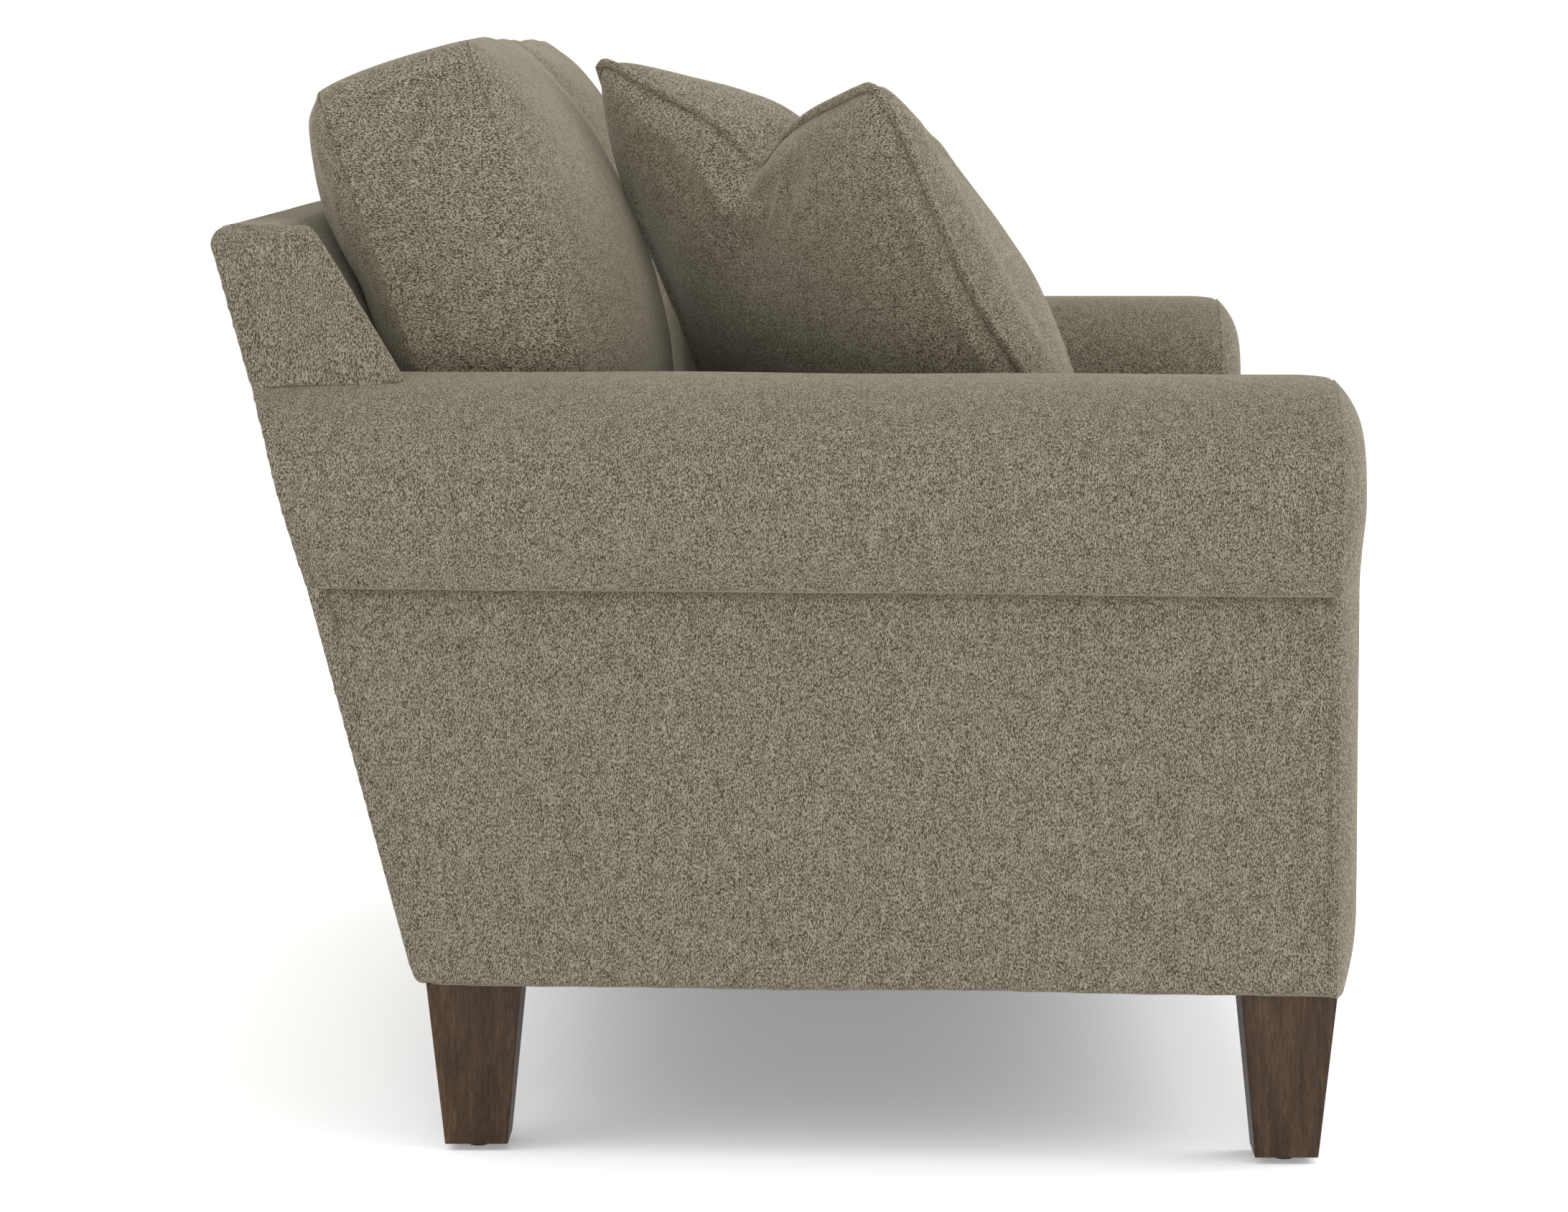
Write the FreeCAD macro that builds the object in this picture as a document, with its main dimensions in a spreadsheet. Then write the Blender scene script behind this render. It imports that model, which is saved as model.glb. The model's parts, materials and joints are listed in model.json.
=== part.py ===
import FreeCAD, Part
import math
import os
import Sketcher
from FreeCAD import Placement, Rotation, Vector

# Two-seat sofa with rolled arms on four tapered wooden legs.
# +Z is up, the sitter looks along -Y, X runs across the seat, and the origin
# lies on the floor under the middle of the sofa. Left is the -X side.
# All sizes are in millimetres and degrees.

DRIVING = [
    ("seam_front", 453.5, "front plane of the wooden frame, in front of the middle"),
    ("body_bottom", 146, "height of the upholstery's lower edge"),
    ("arm_crest", 618, "arm roll's middle line from the centre, at the front plane"),
    ("toe_in_angle", 3.95, "angle by which each arm runs inwards to the rear"),
    ("roll_radius", 88, "radius of the arm roll"),
    ("roll_seam_height", 480, "height of the seam under the arm roll"),
    ("roll_axis_rise", 88, "arm roll's middle above its seam"),
    ("panel_outset", 62, "outside arm face, outboard of the roll's middle line"),
    ("panel_inset", 78, "inside arm face, inboard of the roll's middle line"),
    ("panel_thickness", 12, "padded panel of board, fibre and cloth"),
    ("roll_lip", 2, "how far the roll's lower edge stands proud of the panels"),
    ("front_panel_thickness", 18, "padded front panel of an arm"),
    ("front_panel_round", 9, "rounding of the front panel's edge"),
    ("border_thickness", 9, "padded border on the front rail"),
    ("back_rake_angle", 14.75, "angle of the outside back from upright"),
    ("back_foot", 311.3, "rear face at the upholstery's lower edge, behind the middle"),
    ("back_top", 782, "height of the back frame's upholstered top"),
    ("back_half_width", 600, "half width of the back above the arms"),
    ("back_panel_thickness", 12, "outside back panel, measured along Y"),
    ("back_corner_round", 24, "rounding of the outside back's upper corners"),
    ("back_pad", 24, "thickness of the inside back pad, measured along Y"),
    ("strap_thickness", 3, "elastic back strap"),
    ("strap_width", 50, "elastic back strap"),
    ("strap_pitch", 140, "spacing of the back straps"),
    ("inside_foot", 265, "inside back at deck height, behind the middle"),
    ("inside_knee", 312, "inside back at knee height, behind the middle"),
    ("inside_waist", 354.5, "inside back at waist height, behind the middle"),
    ("inside_top", 421.5, "inside back at shoulder height, behind the middle"),
    ("knee_height", 503, "height of the inside back's lower bend"),
    ("waist_height", 660, "height of the inside back's upper bend"),
    ("shoulder_height", 775, "height where the inside back turns into the top"),
    ("wing_lead", 30, "how far the back's end panels stand forward of the inside back"),
    ("deck_height", 350, "height of the seat deck's cloth"),
    ("cloth_thickness", 2, "deck cloth"),
    ("dust_cloth_thickness", 1.5, "dust cover under the frame"),
    ("rail_top", 290, "height of the seat rails' upper edge"),
    ("rail_thickness", 25, "front and back seat rails and arm posts"),
    ("side_rail_thickness", 20, "side seat rails"),
    ("arm_frame_outset", 50, "arm frame's outside face, outboard of the roll's middle line"),
    ("arm_frame_inset", 66, "arm frame's inside face, inboard of the roll's middle line"),
    ("arm_board_drop", 2, "arm board's underside below the arm roll's middle"),
    ("arm_board_thickness", 22, "arm board"),
    ("slat_height", 40, "arm slat"),
    ("slat_thickness", 20, "arm slat"),
    ("post_outer", 586, "back post's outside face from the middle"),
    ("post_width", 30, "back post, across the sofa"),
    ("block_height", 40, "corner block"),
    ("block_depth", 90, "front corner block, front to rear"),
    ("back_rail_face", 273, "front face of the back seat rail, behind the middle"),
    ("brace_width", 25, "seat brace and back centre post"),
    ("brace_height", 92, "seat centre brace"),
    ("top_rail_foot", 690, "height of the back top rail's underside"),
    ("top_rail_head", 735, "height of the back top rail's upper edge"),
    ("tack_rail_foot", 355, "height of the tack rail's underside"),
    ("tack_rail_height", 40, "tack rail"),
    ("tack_rail_thickness", 20, "tack rail, measured along Y"),
    ("leg_top", 80, "leg's square section under the frame"),
    ("leg_foot", 53, "leg's square section at the floor"),
    ("leg_edge_round", 2, "rounding of the legs' long edges"),
    ("glide_height", 6, "plastic glide under a leg"),
    ("glide_radius", 11, "glide where it meets the leg"),
    ("glide_foot_radius", 8, "glide's flat on the floor"),
    ("front_leg_across", 629.4, "front leg's middle from the centre"),
    ("front_leg_forward", 416.5, "front leg's middle, in front of the middle"),
    ("rear_leg_across", 582.4, "rear leg's middle from the centre"),
    ("rear_leg_back", 263.3, "rear leg's middle, behind the middle"),
    ("bolt_radius", 4, "hanger bolt"),
    ("bolt_depth", 45, "hanger bolt's length in the leg"),
    ("tee_barrel_radius", 5, "tee nut's barrel"),
    ("tee_flange_radius", 9.5, "tee nut's flange"),
    ("tee_flange_thickness", 1.5, "tee nut's flange"),
    ("spring_radius", 1.9, "seat spring wire"),
    ("spring_pitch", 44, "spacing of a seat spring's legs"),
    ("spring_reach", 9, "half of a spring leg's straight length"),
    ("spring_spacing", 168, "spacing of the seat springs"),
    ("spring_end_gap", 14, "first spring leg behind the front rail's rear face"),
    ("clip_thickness", 1.5, "steel spring clip"),
    ("clip_width", 26, "steel spring clip"),
    ("tie_radius", 1.4, "tie wire across the springs"),
    ("tie_end_gap", 32, "tie wire's end to the arm frame's inside face at the rear rail"),
    ("seat_clearance", 0.3, "gap under and around a loose cushion"),
    ("seat_side_gap", 3, "loose cushion to the arm roll's widest line"),
    ("seat_mid_gap", 3, "gap between the two seat cushions"),
    ("seat_front", 462, "seat cushion's front boxing, in front of the middle"),
    ("seat_edge", 138, "height of the seat cushion's boxing"),
    ("seat_crown", 17, "rise of the seat cushion's crown above the boxing"),
    ("back_cushion_gap", 4, "gap between the two back cushions"),
    ("back_cushion_side_gap", 3.2, "back cushion's boxing to the arm roll's widest line"),
    ("back_cushion_lean_angle", 19, "lean of the back cushions from upright"),
    ("back_cushion_boxing", 138, "thickness of the back cushion at its seams"),
    ("back_cushion_height", 433, "back cushion's height along its lean"),
    ("back_cushion_front_crown", 74, "front crown beyond the front seam"),
    ("back_cushion_rear_crown", 22, "rear crown beyond the rear seam"),
    ("back_cushion_settle", 3.9, "how far the back cushion's foot sits below the top of the seat's crown"),
    ("back_cushion_y", 203, "middle of the back cushion's foot, behind the middle"),
    ("pillow_foot", 512, "pillow's width between its lower corners"),
    ("pillow_head", 356, "pillow's width between its upper corners"),
    ("pillow_height", 455, "pillow's height between its corners"),
    ("pillow_front_crown", 108, "how far the pillow's front swells from its seam"),
    ("pillow_rear_crown", 66, "how far the pillow's rear swells from its seam"),
    ("pillow_chop", 99, "depth of the dent in the pillow's upper edge"),
    ("pillow_draw", 12, "how far the pillow's other edges draw in"),
    ("pillow_yaw_angle", 42.3, "pillow's turn towards the seat's middle"),
    ("pillow_lean_angle", 31.8, "left pillow's lean from upright"),
    ("pillow_extra_lean_angle", 2.5, "how much further the right pillow leans"),
    ("pillow_roll_angle", 3.9, "how far the pillow is tipped onto its outer corner"),
    ("pillow_settle", 1.2, "how far the pillow's corner sits below the top of the seat's crown"),
    ("pillow_x", 296, "pillow's middle from the centre"),
    ("pillow_y", -35, "pillow's middle, behind the middle"),
    ("core_depth", 30, "foam or filling below the cushion's seams"),
    ("cushion_corner", 30, "rounding of the loose cushions' corners"),
    ("cushion_ease", 14, "rounding of the seat cushion's lower edge"),
    ("boxing_pull", 3, "how far a seat cushion's sides draw in"),
    ("seat_crown_run", 180, "seat cushion's crown, inwards from the boxing"),
    ("back_crown_run", 150, "back cushion's crown, inwards from the boxing"),
    ("back_crown_swell", 10, "how far the back cushion's crown bows out between its corners"),
]

SIDES = (("left", -1), ("right", 1))

doc = FreeCAD.newDocument("sofa")
sheet = doc.addObject("Spreadsheet::Sheet", "sizes")
nodes = {}


class Size:
    """A size that carries its number and the sheet expression that gives it."""

    def __init__(self, value, text):
        self.value = float(value)
        self.text = text

    def __add__(self, other):
        other = as_size(other)
        return Size(self.value + other.value, f"({self.text} + {other.text})")

    def __radd__(self, other):
        return as_size(other) + self

    def __sub__(self, other):
        other = as_size(other)
        return Size(self.value - other.value, f"({self.text} - {other.text})")

    def __rsub__(self, other):
        return as_size(other) - self

    def __mul__(self, other):
        other = as_size(other)
        return Size(self.value * other.value, f"({self.text} * {other.text})")

    def __rmul__(self, other):
        return as_size(other) * self

    def __truediv__(self, other):
        other = as_size(other)
        return Size(self.value / other.value, f"({self.text} / {other.text})")

    def __neg__(self):
        return Size(-self.value, f"(0 - {self.text})")


def as_size(value):
    if isinstance(value, Size):
        return value
    return Size(value, f"({float(value)!r})")


def tangent(angle):
    return Size(math.tan(math.radians(angle.value)), f"tan({angle.text} * 1 deg)")


def cosine(angle):
    return Size(math.cos(math.radians(angle.value)), f"cos({angle.text} * 1 deg)")


def root(square):
    return Size(math.sqrt(square.value), f"sqrt({square.text})")


class Sizes:
    """The driving dimensions, one attribute for each row of the sheet."""


def fill_sheet():
    sizes = Sizes()
    for row, (alias, value, meaning) in enumerate(DRIVING, start=1):
        sheet.set(f"A{row}", str(value))
        sheet.set(f"B{row}", meaning)
        sheet.setAlias(f"A{row}", alias)
        setattr(sizes, alias, Size(value, f"sizes.{alias}"))
    doc.recompute()
    return sizes


dim = fill_sheet()

# Heights that follow from the layers below them.
dim.frame_bottom = dim.body_bottom + dim.dust_cloth_thickness
dim.spring_level = dim.rail_top + dim.clip_thickness + dim.spring_radius
dim.deck_pad_foot = dim.spring_level + dim.spring_radius + 2 * dim.tie_radius
dim.roll_axis_height = dim.roll_seam_height + dim.roll_axis_rise
dim.arm_board_foot = dim.roll_axis_height - dim.arm_board_drop
dim.tie_half_length = (dim.arm_crest - dim.arm_frame_inset - dim.tie_end_gap
                       - tangent(dim.toe_in_angle) * (dim.seam_front + dim.back_rail_face))
dim.back_cushion_reach = (dim.arm_crest - dim.roll_radius - dim.back_cushion_side_gap
                          - tangent(dim.toe_in_angle) * (dim.seam_front + dim.inside_waist))
dim.seat_foot = dim.deck_height + dim.seat_clearance
dim.seat_top = dim.seat_foot + dim.seat_edge + dim.seat_crown
dim.back_cushion_foot = dim.seat_top + dim.seat_clearance - dim.back_cushion_settle


def bind(obj, prop, size):
    obj.setExpression(prop, as_size(size).text)


def place(obj, x=0, y=0, z=0):
    """Ties the object's place to the sheet."""
    bind(obj, "Placement.Base.x", x)
    bind(obj, "Placement.Base.y", y)
    bind(obj, "Placement.Base.z", z)


def keep(obj, name):
    """Marks an object as a sub-part that is written to its own file."""
    obj.Label = name
    nodes[name] = obj
    return obj


def new_body(name):
    body = doc.addObject("PartDesign::Body", name)
    body.Label = name
    return body


def origin_plane(body, role):
    for feature in body.Origin.OriginFeatures:
        if feature.Role == role:
            return feature
    raise ValueError(role)


def arc_between(start, end, radius, bulge):
    """Arc of under half a circle from start to end, on the left of the way if bulge is 1."""
    chord = end - start
    middle = (start + end) * 0.5
    half = chord.Length / 2
    depth = radius - math.sqrt(max(radius * radius - half * half, 0.0))
    left = Vector(-chord.y, chord.x, 0).normalize()
    summit = middle + left * (bulge * depth)
    if bulge > 0:
        start, end = end, start
    return Part.Arc(start, summit, end)


def outline(body, role, points, arcs=None, lift=None):
    """Closed sketch through the points. arcs maps a side's number to (radius, bulge)."""
    arcs = arcs or {}
    sketch = body.newObject("Sketcher::SketchObject", body.Name + "_outline")
    sketch.AttachmentSupport = [(origin_plane(body, role), "")]
    sketch.MapMode = "FlatFace"
    if lift is not None:
        bind(sketch, "AttachmentOffset.Base.z", lift)
    flat = [Vector(x.value, y.value, 0) for x, y in points]
    count = len(flat)
    for i, start in enumerate(flat):
        end = flat[(i + 1) % count]
        if i in arcs:
            radius, bulge = arcs[i]
            sketch.addGeometry(arc_between(start, end, radius.value, bulge))
        else:
            sketch.addGeometry(Part.LineSegment(start, end))

    def end_at(index, point):
        return 1 if (sketch.Geometry[index].StartPoint - point).Length < 0.001 else 2

    for i, start in enumerate(flat):
        before = (i - 1) % count
        here = end_at(i, start)
        sketch.addConstraint(Sketcher.Constraint("Coincident", before, end_at(before, start), i, here))
        x, y = points[i]
        for kind, size in (("DistanceX", x), ("DistanceY", y)):
            index = sketch.addConstraint(Sketcher.Constraint(kind, -1, 1, i, here, size.value))
            bind(sketch, f"Constraints[{index}]", size)
        if i in arcs:
            radius = arcs[i][0]
            index = sketch.addConstraint(Sketcher.Constraint("Radius", i, radius.value))
            bind(sketch, f"Constraints[{index}]", radius)
    return sketch


def circle_sketch(body, role, radius, lift=None):
    sketch = body.newObject("Sketcher::SketchObject", body.Name + "_circle")
    sketch.AttachmentSupport = [(origin_plane(body, role), "")]
    sketch.MapMode = "FlatFace"
    if lift is not None:
        bind(sketch, "AttachmentOffset.Base.z", lift)
    sketch.addGeometry(Part.Circle(Vector(0, 0, 0), Vector(0, 0, 1), radius.value))
    sketch.addConstraint(Sketcher.Constraint("Coincident", 0, 3, -1, 1))
    index = sketch.addConstraint(Sketcher.Constraint("Radius", 0, radius.value))
    bind(sketch, f"Constraints[{index}]", radius)
    return sketch


def pad(body, sketch, length, midplane=False, backwards=False):
    feature = body.newObject("PartDesign::Pad", body.Name + "_pad")
    feature.Profile = (sketch, [""])
    bind(feature, "Length", length)
    feature.Midplane = midplane
    feature.Reversed = backwards
    return feature


def cross_bar(name, points, half_width, arcs=None):
    """Bar along X with a Y-Z section, as long each way from the middle as half_width."""
    body = new_body(name)
    sketch = outline(body, "YZ_Plane", points, arcs)
    pad(body, sketch, 2 * half_width, midplane=True)
    return body


def upright(name, points, inner, outer, side):
    """Board with a Y-Z section between two distances from the middle."""
    body = new_body(name)
    sketch = outline(body, "YZ_Plane", points)
    pad(body, sketch, outer - inner)
    place(body, x=inner if side > 0 else -outer)
    return body


def toed_bar(name, side, points, front, rear, arcs=None):
    """Bar with an X-Z section at the front plane that runs inwards to the rear.

    Each point is (distance outboard of the roll's middle line, height).
    front and rear are distances behind the front plane."""
    shift = tangent(dim.toe_in_angle)
    body = new_body(name)
    ends = [(side * (dim.arm_crest + out - shift * front), height) for out, height in points]
    turns = {i: (radius, bulge * -side) for i, (radius, bulge) in (arcs or {}).items()}
    sketch = outline(body, "XZ_Plane", ends, turns)
    feature = pad(body, sketch, rear - front)
    feature.UseCustomVector = True
    feature.Direction = Vector(0, 1, 0)
    bind(feature, "Direction.x", -side * shift)
    feature.AlongSketchNormal = True
    place(body, y=front - dim.seam_front)
    return body


def box(name, x_low, x_high, y_low, y_high, z_low, z_high):
    block = doc.addObject("Part::Box", name)
    bind(block, "Length", x_high - x_low)
    bind(block, "Width", y_high - y_low)
    bind(block, "Height", z_high - z_low)
    place(block, x_low, y_low, z_low)
    return block


def cylinder(name, radius, height, x, y, z):
    shape = doc.addObject("Part::Cylinder", name)
    bind(shape, "Radius", radius)
    bind(shape, "Height", height)
    place(shape, x, y, z)
    return shape


def cut(name, base, *tools):
    """Takes the tools away from the base one after another."""
    for number, tool in enumerate(tools, start=1):
        result = doc.addObject("Part::Cut", f"{name}_cut{number}")
        result.Base = base
        result.Tool = tool
        base = result
    return base


def group(name, parts):
    result = doc.addObject("Part::Compound", name)
    result.Links = parts
    return result


# Lines of the back, seen from the side: each gives Y at a height.

def rear_face(height):
    return dim.back_foot + (height - dim.body_bottom) * tangent(dim.back_rake_angle)


def rear_inner(height):
    return rear_face(height) - dim.back_panel_thickness


def shoulder_slope():
    return (dim.inside_top - dim.inside_waist) / (dim.shoulder_height - dim.waist_height)


def inside_upper(height):
    return dim.inside_waist + (height - dim.waist_height) * shoulder_slope()


def post_front(height):
    """Front edge of the back posts above the waist."""
    return inside_upper(height) + dim.back_pad + dim.strap_thickness


def post_front_points(depth):
    """Front line of the back frame from the deck to the waist, depth behind the inside back."""
    return [(dim.inside_foot + depth, dim.deck_height),
            (dim.inside_knee + depth, dim.knee_height),
            (dim.inside_waist + depth, dim.waist_height)]


def post_depth():
    return dim.back_pad + dim.strap_thickness


def post_foot_front():
    """Front edge of the back posts on the corner blocks, parallel to the outside back."""
    foot = dim.frame_bottom + dim.block_height
    return dim.inside_foot + post_depth() - (dim.deck_height - foot) * tangent(dim.back_rake_angle)


# Tools that trim the arms where the back stands. They aren't sub-parts.

def rear_limit_tool():
    """Everything behind the inner face of the outside back."""
    low = as_size(0)
    high = 2 * dim.back_top
    reach = 2 * dim.back_foot
    points = [(rear_inner(low), low), (rear_inner(low) + reach, low),
              (rear_inner(high) + reach, high), (rear_inner(high), high)]
    return cross_bar("rear_limit", points, 2 * dim.arm_crest)


def back_zone_tool():
    """The space of the back frame between the outside faces of its posts."""
    high = 2 * dim.back_top
    reach = 2 * dim.back_foot
    low = as_size(0)
    below = dim.inside_foot + post_depth() - dim.deck_height * tangent(dim.back_rake_angle)
    points = [(below, low)] + post_front_points(post_depth())
    points += [(post_front(high), high), (rear_inner(high) + reach, high), (rear_inner(low) + reach, low)]
    return cross_bar("back_zone", points, dim.post_outer)


def roll_turn(out, height):
    """Radius of the arc that leaves the roll's widest line upright and ends at (out, height)."""
    across = dim.roll_radius - out
    down = dim.roll_axis_height - height
    return (across * across + down * down) / (2 * across)


def roll_points(outer_foot, inner_foot):
    """Section of an arm roll, clockwise from its outer foot, and its arcs."""
    seam = dim.roll_seam_height
    axis = dim.roll_axis_height
    radius = dim.roll_radius
    points = [(outer_foot, seam), (radius, axis), (as_size(0), axis + radius), (-radius, axis),
              (-inner_foot, seam)]
    arcs = {0: (roll_turn(outer_foot, seam), 1), 1: (radius, 1), 2: (radius, 1),
            3: (roll_turn(inner_foot, seam), 1)}
    return points, arcs


def arm_length():
    """From the front plane to well behind the outside back."""
    return dim.seam_front + rear_face(dim.back_top)


def arm_envelope(label, side):
    """Whole arm with its panels and roll, used to trim the back."""
    points, arcs = roll_points(dim.panel_outset + dim.roll_lip, dim.panel_inset + dim.roll_lip)
    points += [(-dim.panel_inset, dim.frame_bottom), (dim.panel_outset, dim.frame_bottom)]
    return toed_bar(f"arm_envelope_{label}", side, points, as_size(0), arm_length(), arcs)


# Legs and what fixes them.

def leg_places():
    front = -dim.front_leg_forward
    rear = dim.rear_leg_back
    return [("front_left", -dim.front_leg_across, front), ("front_right", dim.front_leg_across, front),
            ("rear_left", -dim.rear_leg_across, rear), ("rear_right", dim.rear_leg_across, rear)]


def rounded_square(half, rounding):
    """Corners of a square with eased edges, and its arcs."""
    flat = half - rounding
    points = [(-flat, -half), (flat, -half), (half, -flat), (half, flat), (flat, half), (-flat, half),
              (-half, flat), (-half, -flat)]
    return points, {side: (rounding, -1) for side in (1, 3, 5, 7)}


def make_leg(label, x, y):
    """Tapered square leg with eased edges and a bore for its hanger bolt."""
    length = dim.body_bottom - dim.glide_height
    body = new_body(f"leg_{label}")
    points, arcs = rounded_square(dim.leg_foot / 2, dim.leg_edge_round)
    foot = outline(body, "XY_Plane", points, arcs)
    points, arcs = rounded_square(dim.leg_top / 2, dim.leg_edge_round)
    head = outline(body, "XY_Plane", points, arcs, lift=length)
    loft = body.newObject("PartDesign::AdditiveLoft", body.Name + "_loft")
    loft.Profile = (foot, [""])
    loft.Sections = [(head, [""])]
    loft.Ruled = True
    bore = circle_sketch(body, "XY_Plane", dim.bolt_radius, lift=length)
    pocket = body.newObject("PartDesign::Pocket", body.Name + "_bore")
    pocket.Profile = (bore, [""])
    bind(pocket, "Length", dim.bolt_depth)
    place(body, x, y, dim.glide_height)
    keep(body, f"leg_{label}")


def make_leg_fittings():
    glides = []
    bolts = []
    nuts = []
    block_foot = dim.frame_bottom
    block_top = block_foot + dim.block_height
    flange_foot = block_top - dim.tee_flange_thickness
    for label, x, y in leg_places():
        glide = doc.addObject("Part::Cone", f"glide_{label}")
        bind(glide, "Radius1", dim.glide_foot_radius)
        bind(glide, "Radius2", dim.glide_radius)
        bind(glide, "Height", dim.glide_height)
        place(glide, x, y)
        glides.append(glide)
        bolt_foot = dim.body_bottom - dim.bolt_depth
        bolts.append(cylinder(f"bolt_{label}", dim.bolt_radius, block_top - bolt_foot, x, y, bolt_foot))
        barrel = cylinder(f"tee_barrel_{label}", dim.tee_barrel_radius, flange_foot - block_foot,
                          x, y, block_foot)
        flange = cylinder(f"tee_flange_{label}", dim.tee_flange_radius, dim.tee_flange_thickness,
                          x, y, flange_foot)
        whole = doc.addObject("Part::Fuse", f"tee_{label}")
        whole.Base = barrel
        whole.Tool = flange
        core = cylinder(f"tee_core_{label}", dim.bolt_radius, 2 * dim.block_height, x, y, block_foot)
        nuts.append(cut(f"tee_nut_{label}", whole, core))
    keep(group("leg_glides", glides), "leg_glides")
    keep(group("hanger_bolts", bolts), "hanger_bolts")
    keep(group("tee_nuts", nuts), "tee_nuts")


# Seat frame.

def block_section():
    low = dim.frame_bottom
    high = low + dim.block_height
    inner = -dim.arm_frame_inset
    outer = dim.arm_frame_outset - dim.side_rail_thickness
    return [(inner, low), (outer, low), (outer, high), (inner, high)]


def block_bores(label, x, y):
    """Bore for a tee nut's barrel and the recess for its flange."""
    bore = cylinder(f"block_bore_{label}", dim.tee_barrel_radius, dim.block_height, x, y, dim.frame_bottom)
    recess = cylinder(f"block_recess_{label}", dim.tee_flange_radius, dim.tee_flange_thickness, x, y,
                      dim.frame_bottom + dim.block_height - dim.tee_flange_thickness)
    return [bore, recess]


def make_corner_blocks(rear_limit):
    """Four blocks in the seat frame's corners, bored for the tee nuts."""
    blocks = []
    rear_blocks = []
    rear_start = dim.seam_front + dim.back_rail_face - dim.block_depth
    for label, side in SIDES:
        front = toed_bar(f"block_front_{label}", side, block_section(), dim.rail_thickness,
                         dim.rail_thickness + dim.block_depth)
        rear = toed_bar(f"block_rear_{label}", side, block_section(), rear_start, arm_length())
        rear_blocks.append(rear)
        bores = block_bores(f"front_{label}", side * dim.front_leg_across, -dim.front_leg_forward)
        blocks.append(cut(f"block_front_{label}", front, *bores))
        bores = block_bores(f"rear_{label}", side * dim.rear_leg_across, dim.rear_leg_back)
        blocks.append(cut(f"block_rear_{label}", rear, rear_limit, *bores))
    keep(group("corner_blocks", blocks), "corner_blocks")
    return rear_blocks


def frame_inner_at_front():
    """Half width between the arm posts at the front plane."""
    return dim.arm_crest - dim.arm_frame_inset


def make_seat_frame(rear_limit, rear_blocks):
    front = plan_sheet("front_seat_rail", -dim.seam_front, dim.rail_thickness - dim.seam_front,
                       frame_inner_at_front(), dim.frame_bottom, dim.rail_top)
    keep(front, "front_seat_rail")
    reach = dim.post_outer - dim.post_width
    back = box("back_seat_rail_blank", -reach, reach, dim.back_rail_face,
               dim.back_rail_face + dim.rail_thickness, dim.frame_bottom, dim.rail_top)
    keep(cut("back_seat_rail", back, *rear_blocks), "back_seat_rail")
    outer = dim.arm_frame_outset
    inner = outer - dim.side_rail_thickness
    section = [(inner, dim.frame_bottom), (outer, dim.frame_bottom), (outer, dim.rail_top),
               (inner, dim.rail_top)]
    for label, side in SIDES:
        rail = toed_bar(f"side_seat_rail_{label}_blank", side, section, dim.rail_thickness, arm_length())
        keep(cut(f"side_seat_rail_{label}", rail, rear_limit), f"side_seat_rail_{label}")
    brace = box("seat_centre_brace", -dim.brace_width / 2, dim.brace_width / 2,
                dim.rail_thickness - dim.seam_front, dim.back_rail_face, dim.frame_bottom,
                dim.frame_bottom + dim.brace_height)
    keep(brace, "seat_centre_brace")


# Arm frame.

def stump_start():
    """Front face of the rear arm post, behind the front plane."""
    return dim.seam_front + post_foot_front() - dim.rail_thickness


def make_arm_frame(label, side, rear_limit, back_zone):
    inset = -dim.arm_frame_inset
    outset = dim.arm_frame_outset
    board_half = dim.arm_frame_outset
    seam = dim.roll_seam_height
    head = dim.arm_board_foot
    section = [(inset, dim.frame_bottom), (outset, dim.frame_bottom), (outset, head), (-board_half, head),
               (-board_half, seam), (inset, seam)]
    post = toed_bar(f"arm_front_post_{label}", side, section, as_size(0), dim.rail_thickness)
    keep(post, f"arm_front_post_{label}")
    rail_inner = outset - dim.side_rail_thickness
    foot = dim.frame_bottom + dim.block_height
    section = [(inset, foot), (rail_inner, foot), (rail_inner, dim.rail_top), (outset, dim.rail_top),
               (outset, head), (-board_half, head), (-board_half, seam), (inset, seam)]
    stump = toed_bar(f"arm_rear_post_{label}", side, section, stump_start(),
                     stump_start() + dim.rail_thickness)
    keep(stump, f"arm_rear_post_{label}")
    top = head + dim.arm_board_thickness
    section = [(-board_half, head), (board_half, head), (board_half, top), (-board_half, top)]
    board = toed_bar(f"arm_board_{label}_blank", side, section, as_size(0), arm_length())
    keep(cut(f"arm_board_{label}", board, rear_limit, back_zone), f"arm_board_{label}")


def make_arm_slats():
    """Thin slats between the arm posts that carry the arm's cloth."""
    slats = []
    outset = dim.arm_frame_outset
    inset = -dim.arm_frame_inset
    upper = dim.roll_seam_height
    lower = dim.rail_top + dim.slat_height
    for label, side in SIDES:
        for name, low_out, top in (("outer", outset - dim.slat_thickness, upper), ("inner", inset, upper),
                                   ("inner_lower", inset, lower)):
            high_out = low_out + dim.slat_thickness
            foot = top - dim.slat_height
            section = [(low_out, foot), (high_out, foot), (high_out, top), (low_out, top)]
            slats.append(toed_bar(f"slat_{name}_{label}", side, section, dim.rail_thickness, stump_start()))
    keep(group("arm_slats", slats), "arm_slats")


# Back frame.

def post_points(foot_front, foot, head):
    points = [(foot_front, foot)] + post_front_points(post_depth())
    return points + [(post_front(head), head), (rear_inner(head), head), (rear_inner(foot), foot)]


def post_front_at_rail():
    """Front edge of the back frame on top of the back seat rail."""
    foot = dim.frame_bottom + dim.block_height
    return post_foot_front() + (dim.rail_top - foot) * tangent(dim.back_rake_angle)


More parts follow.
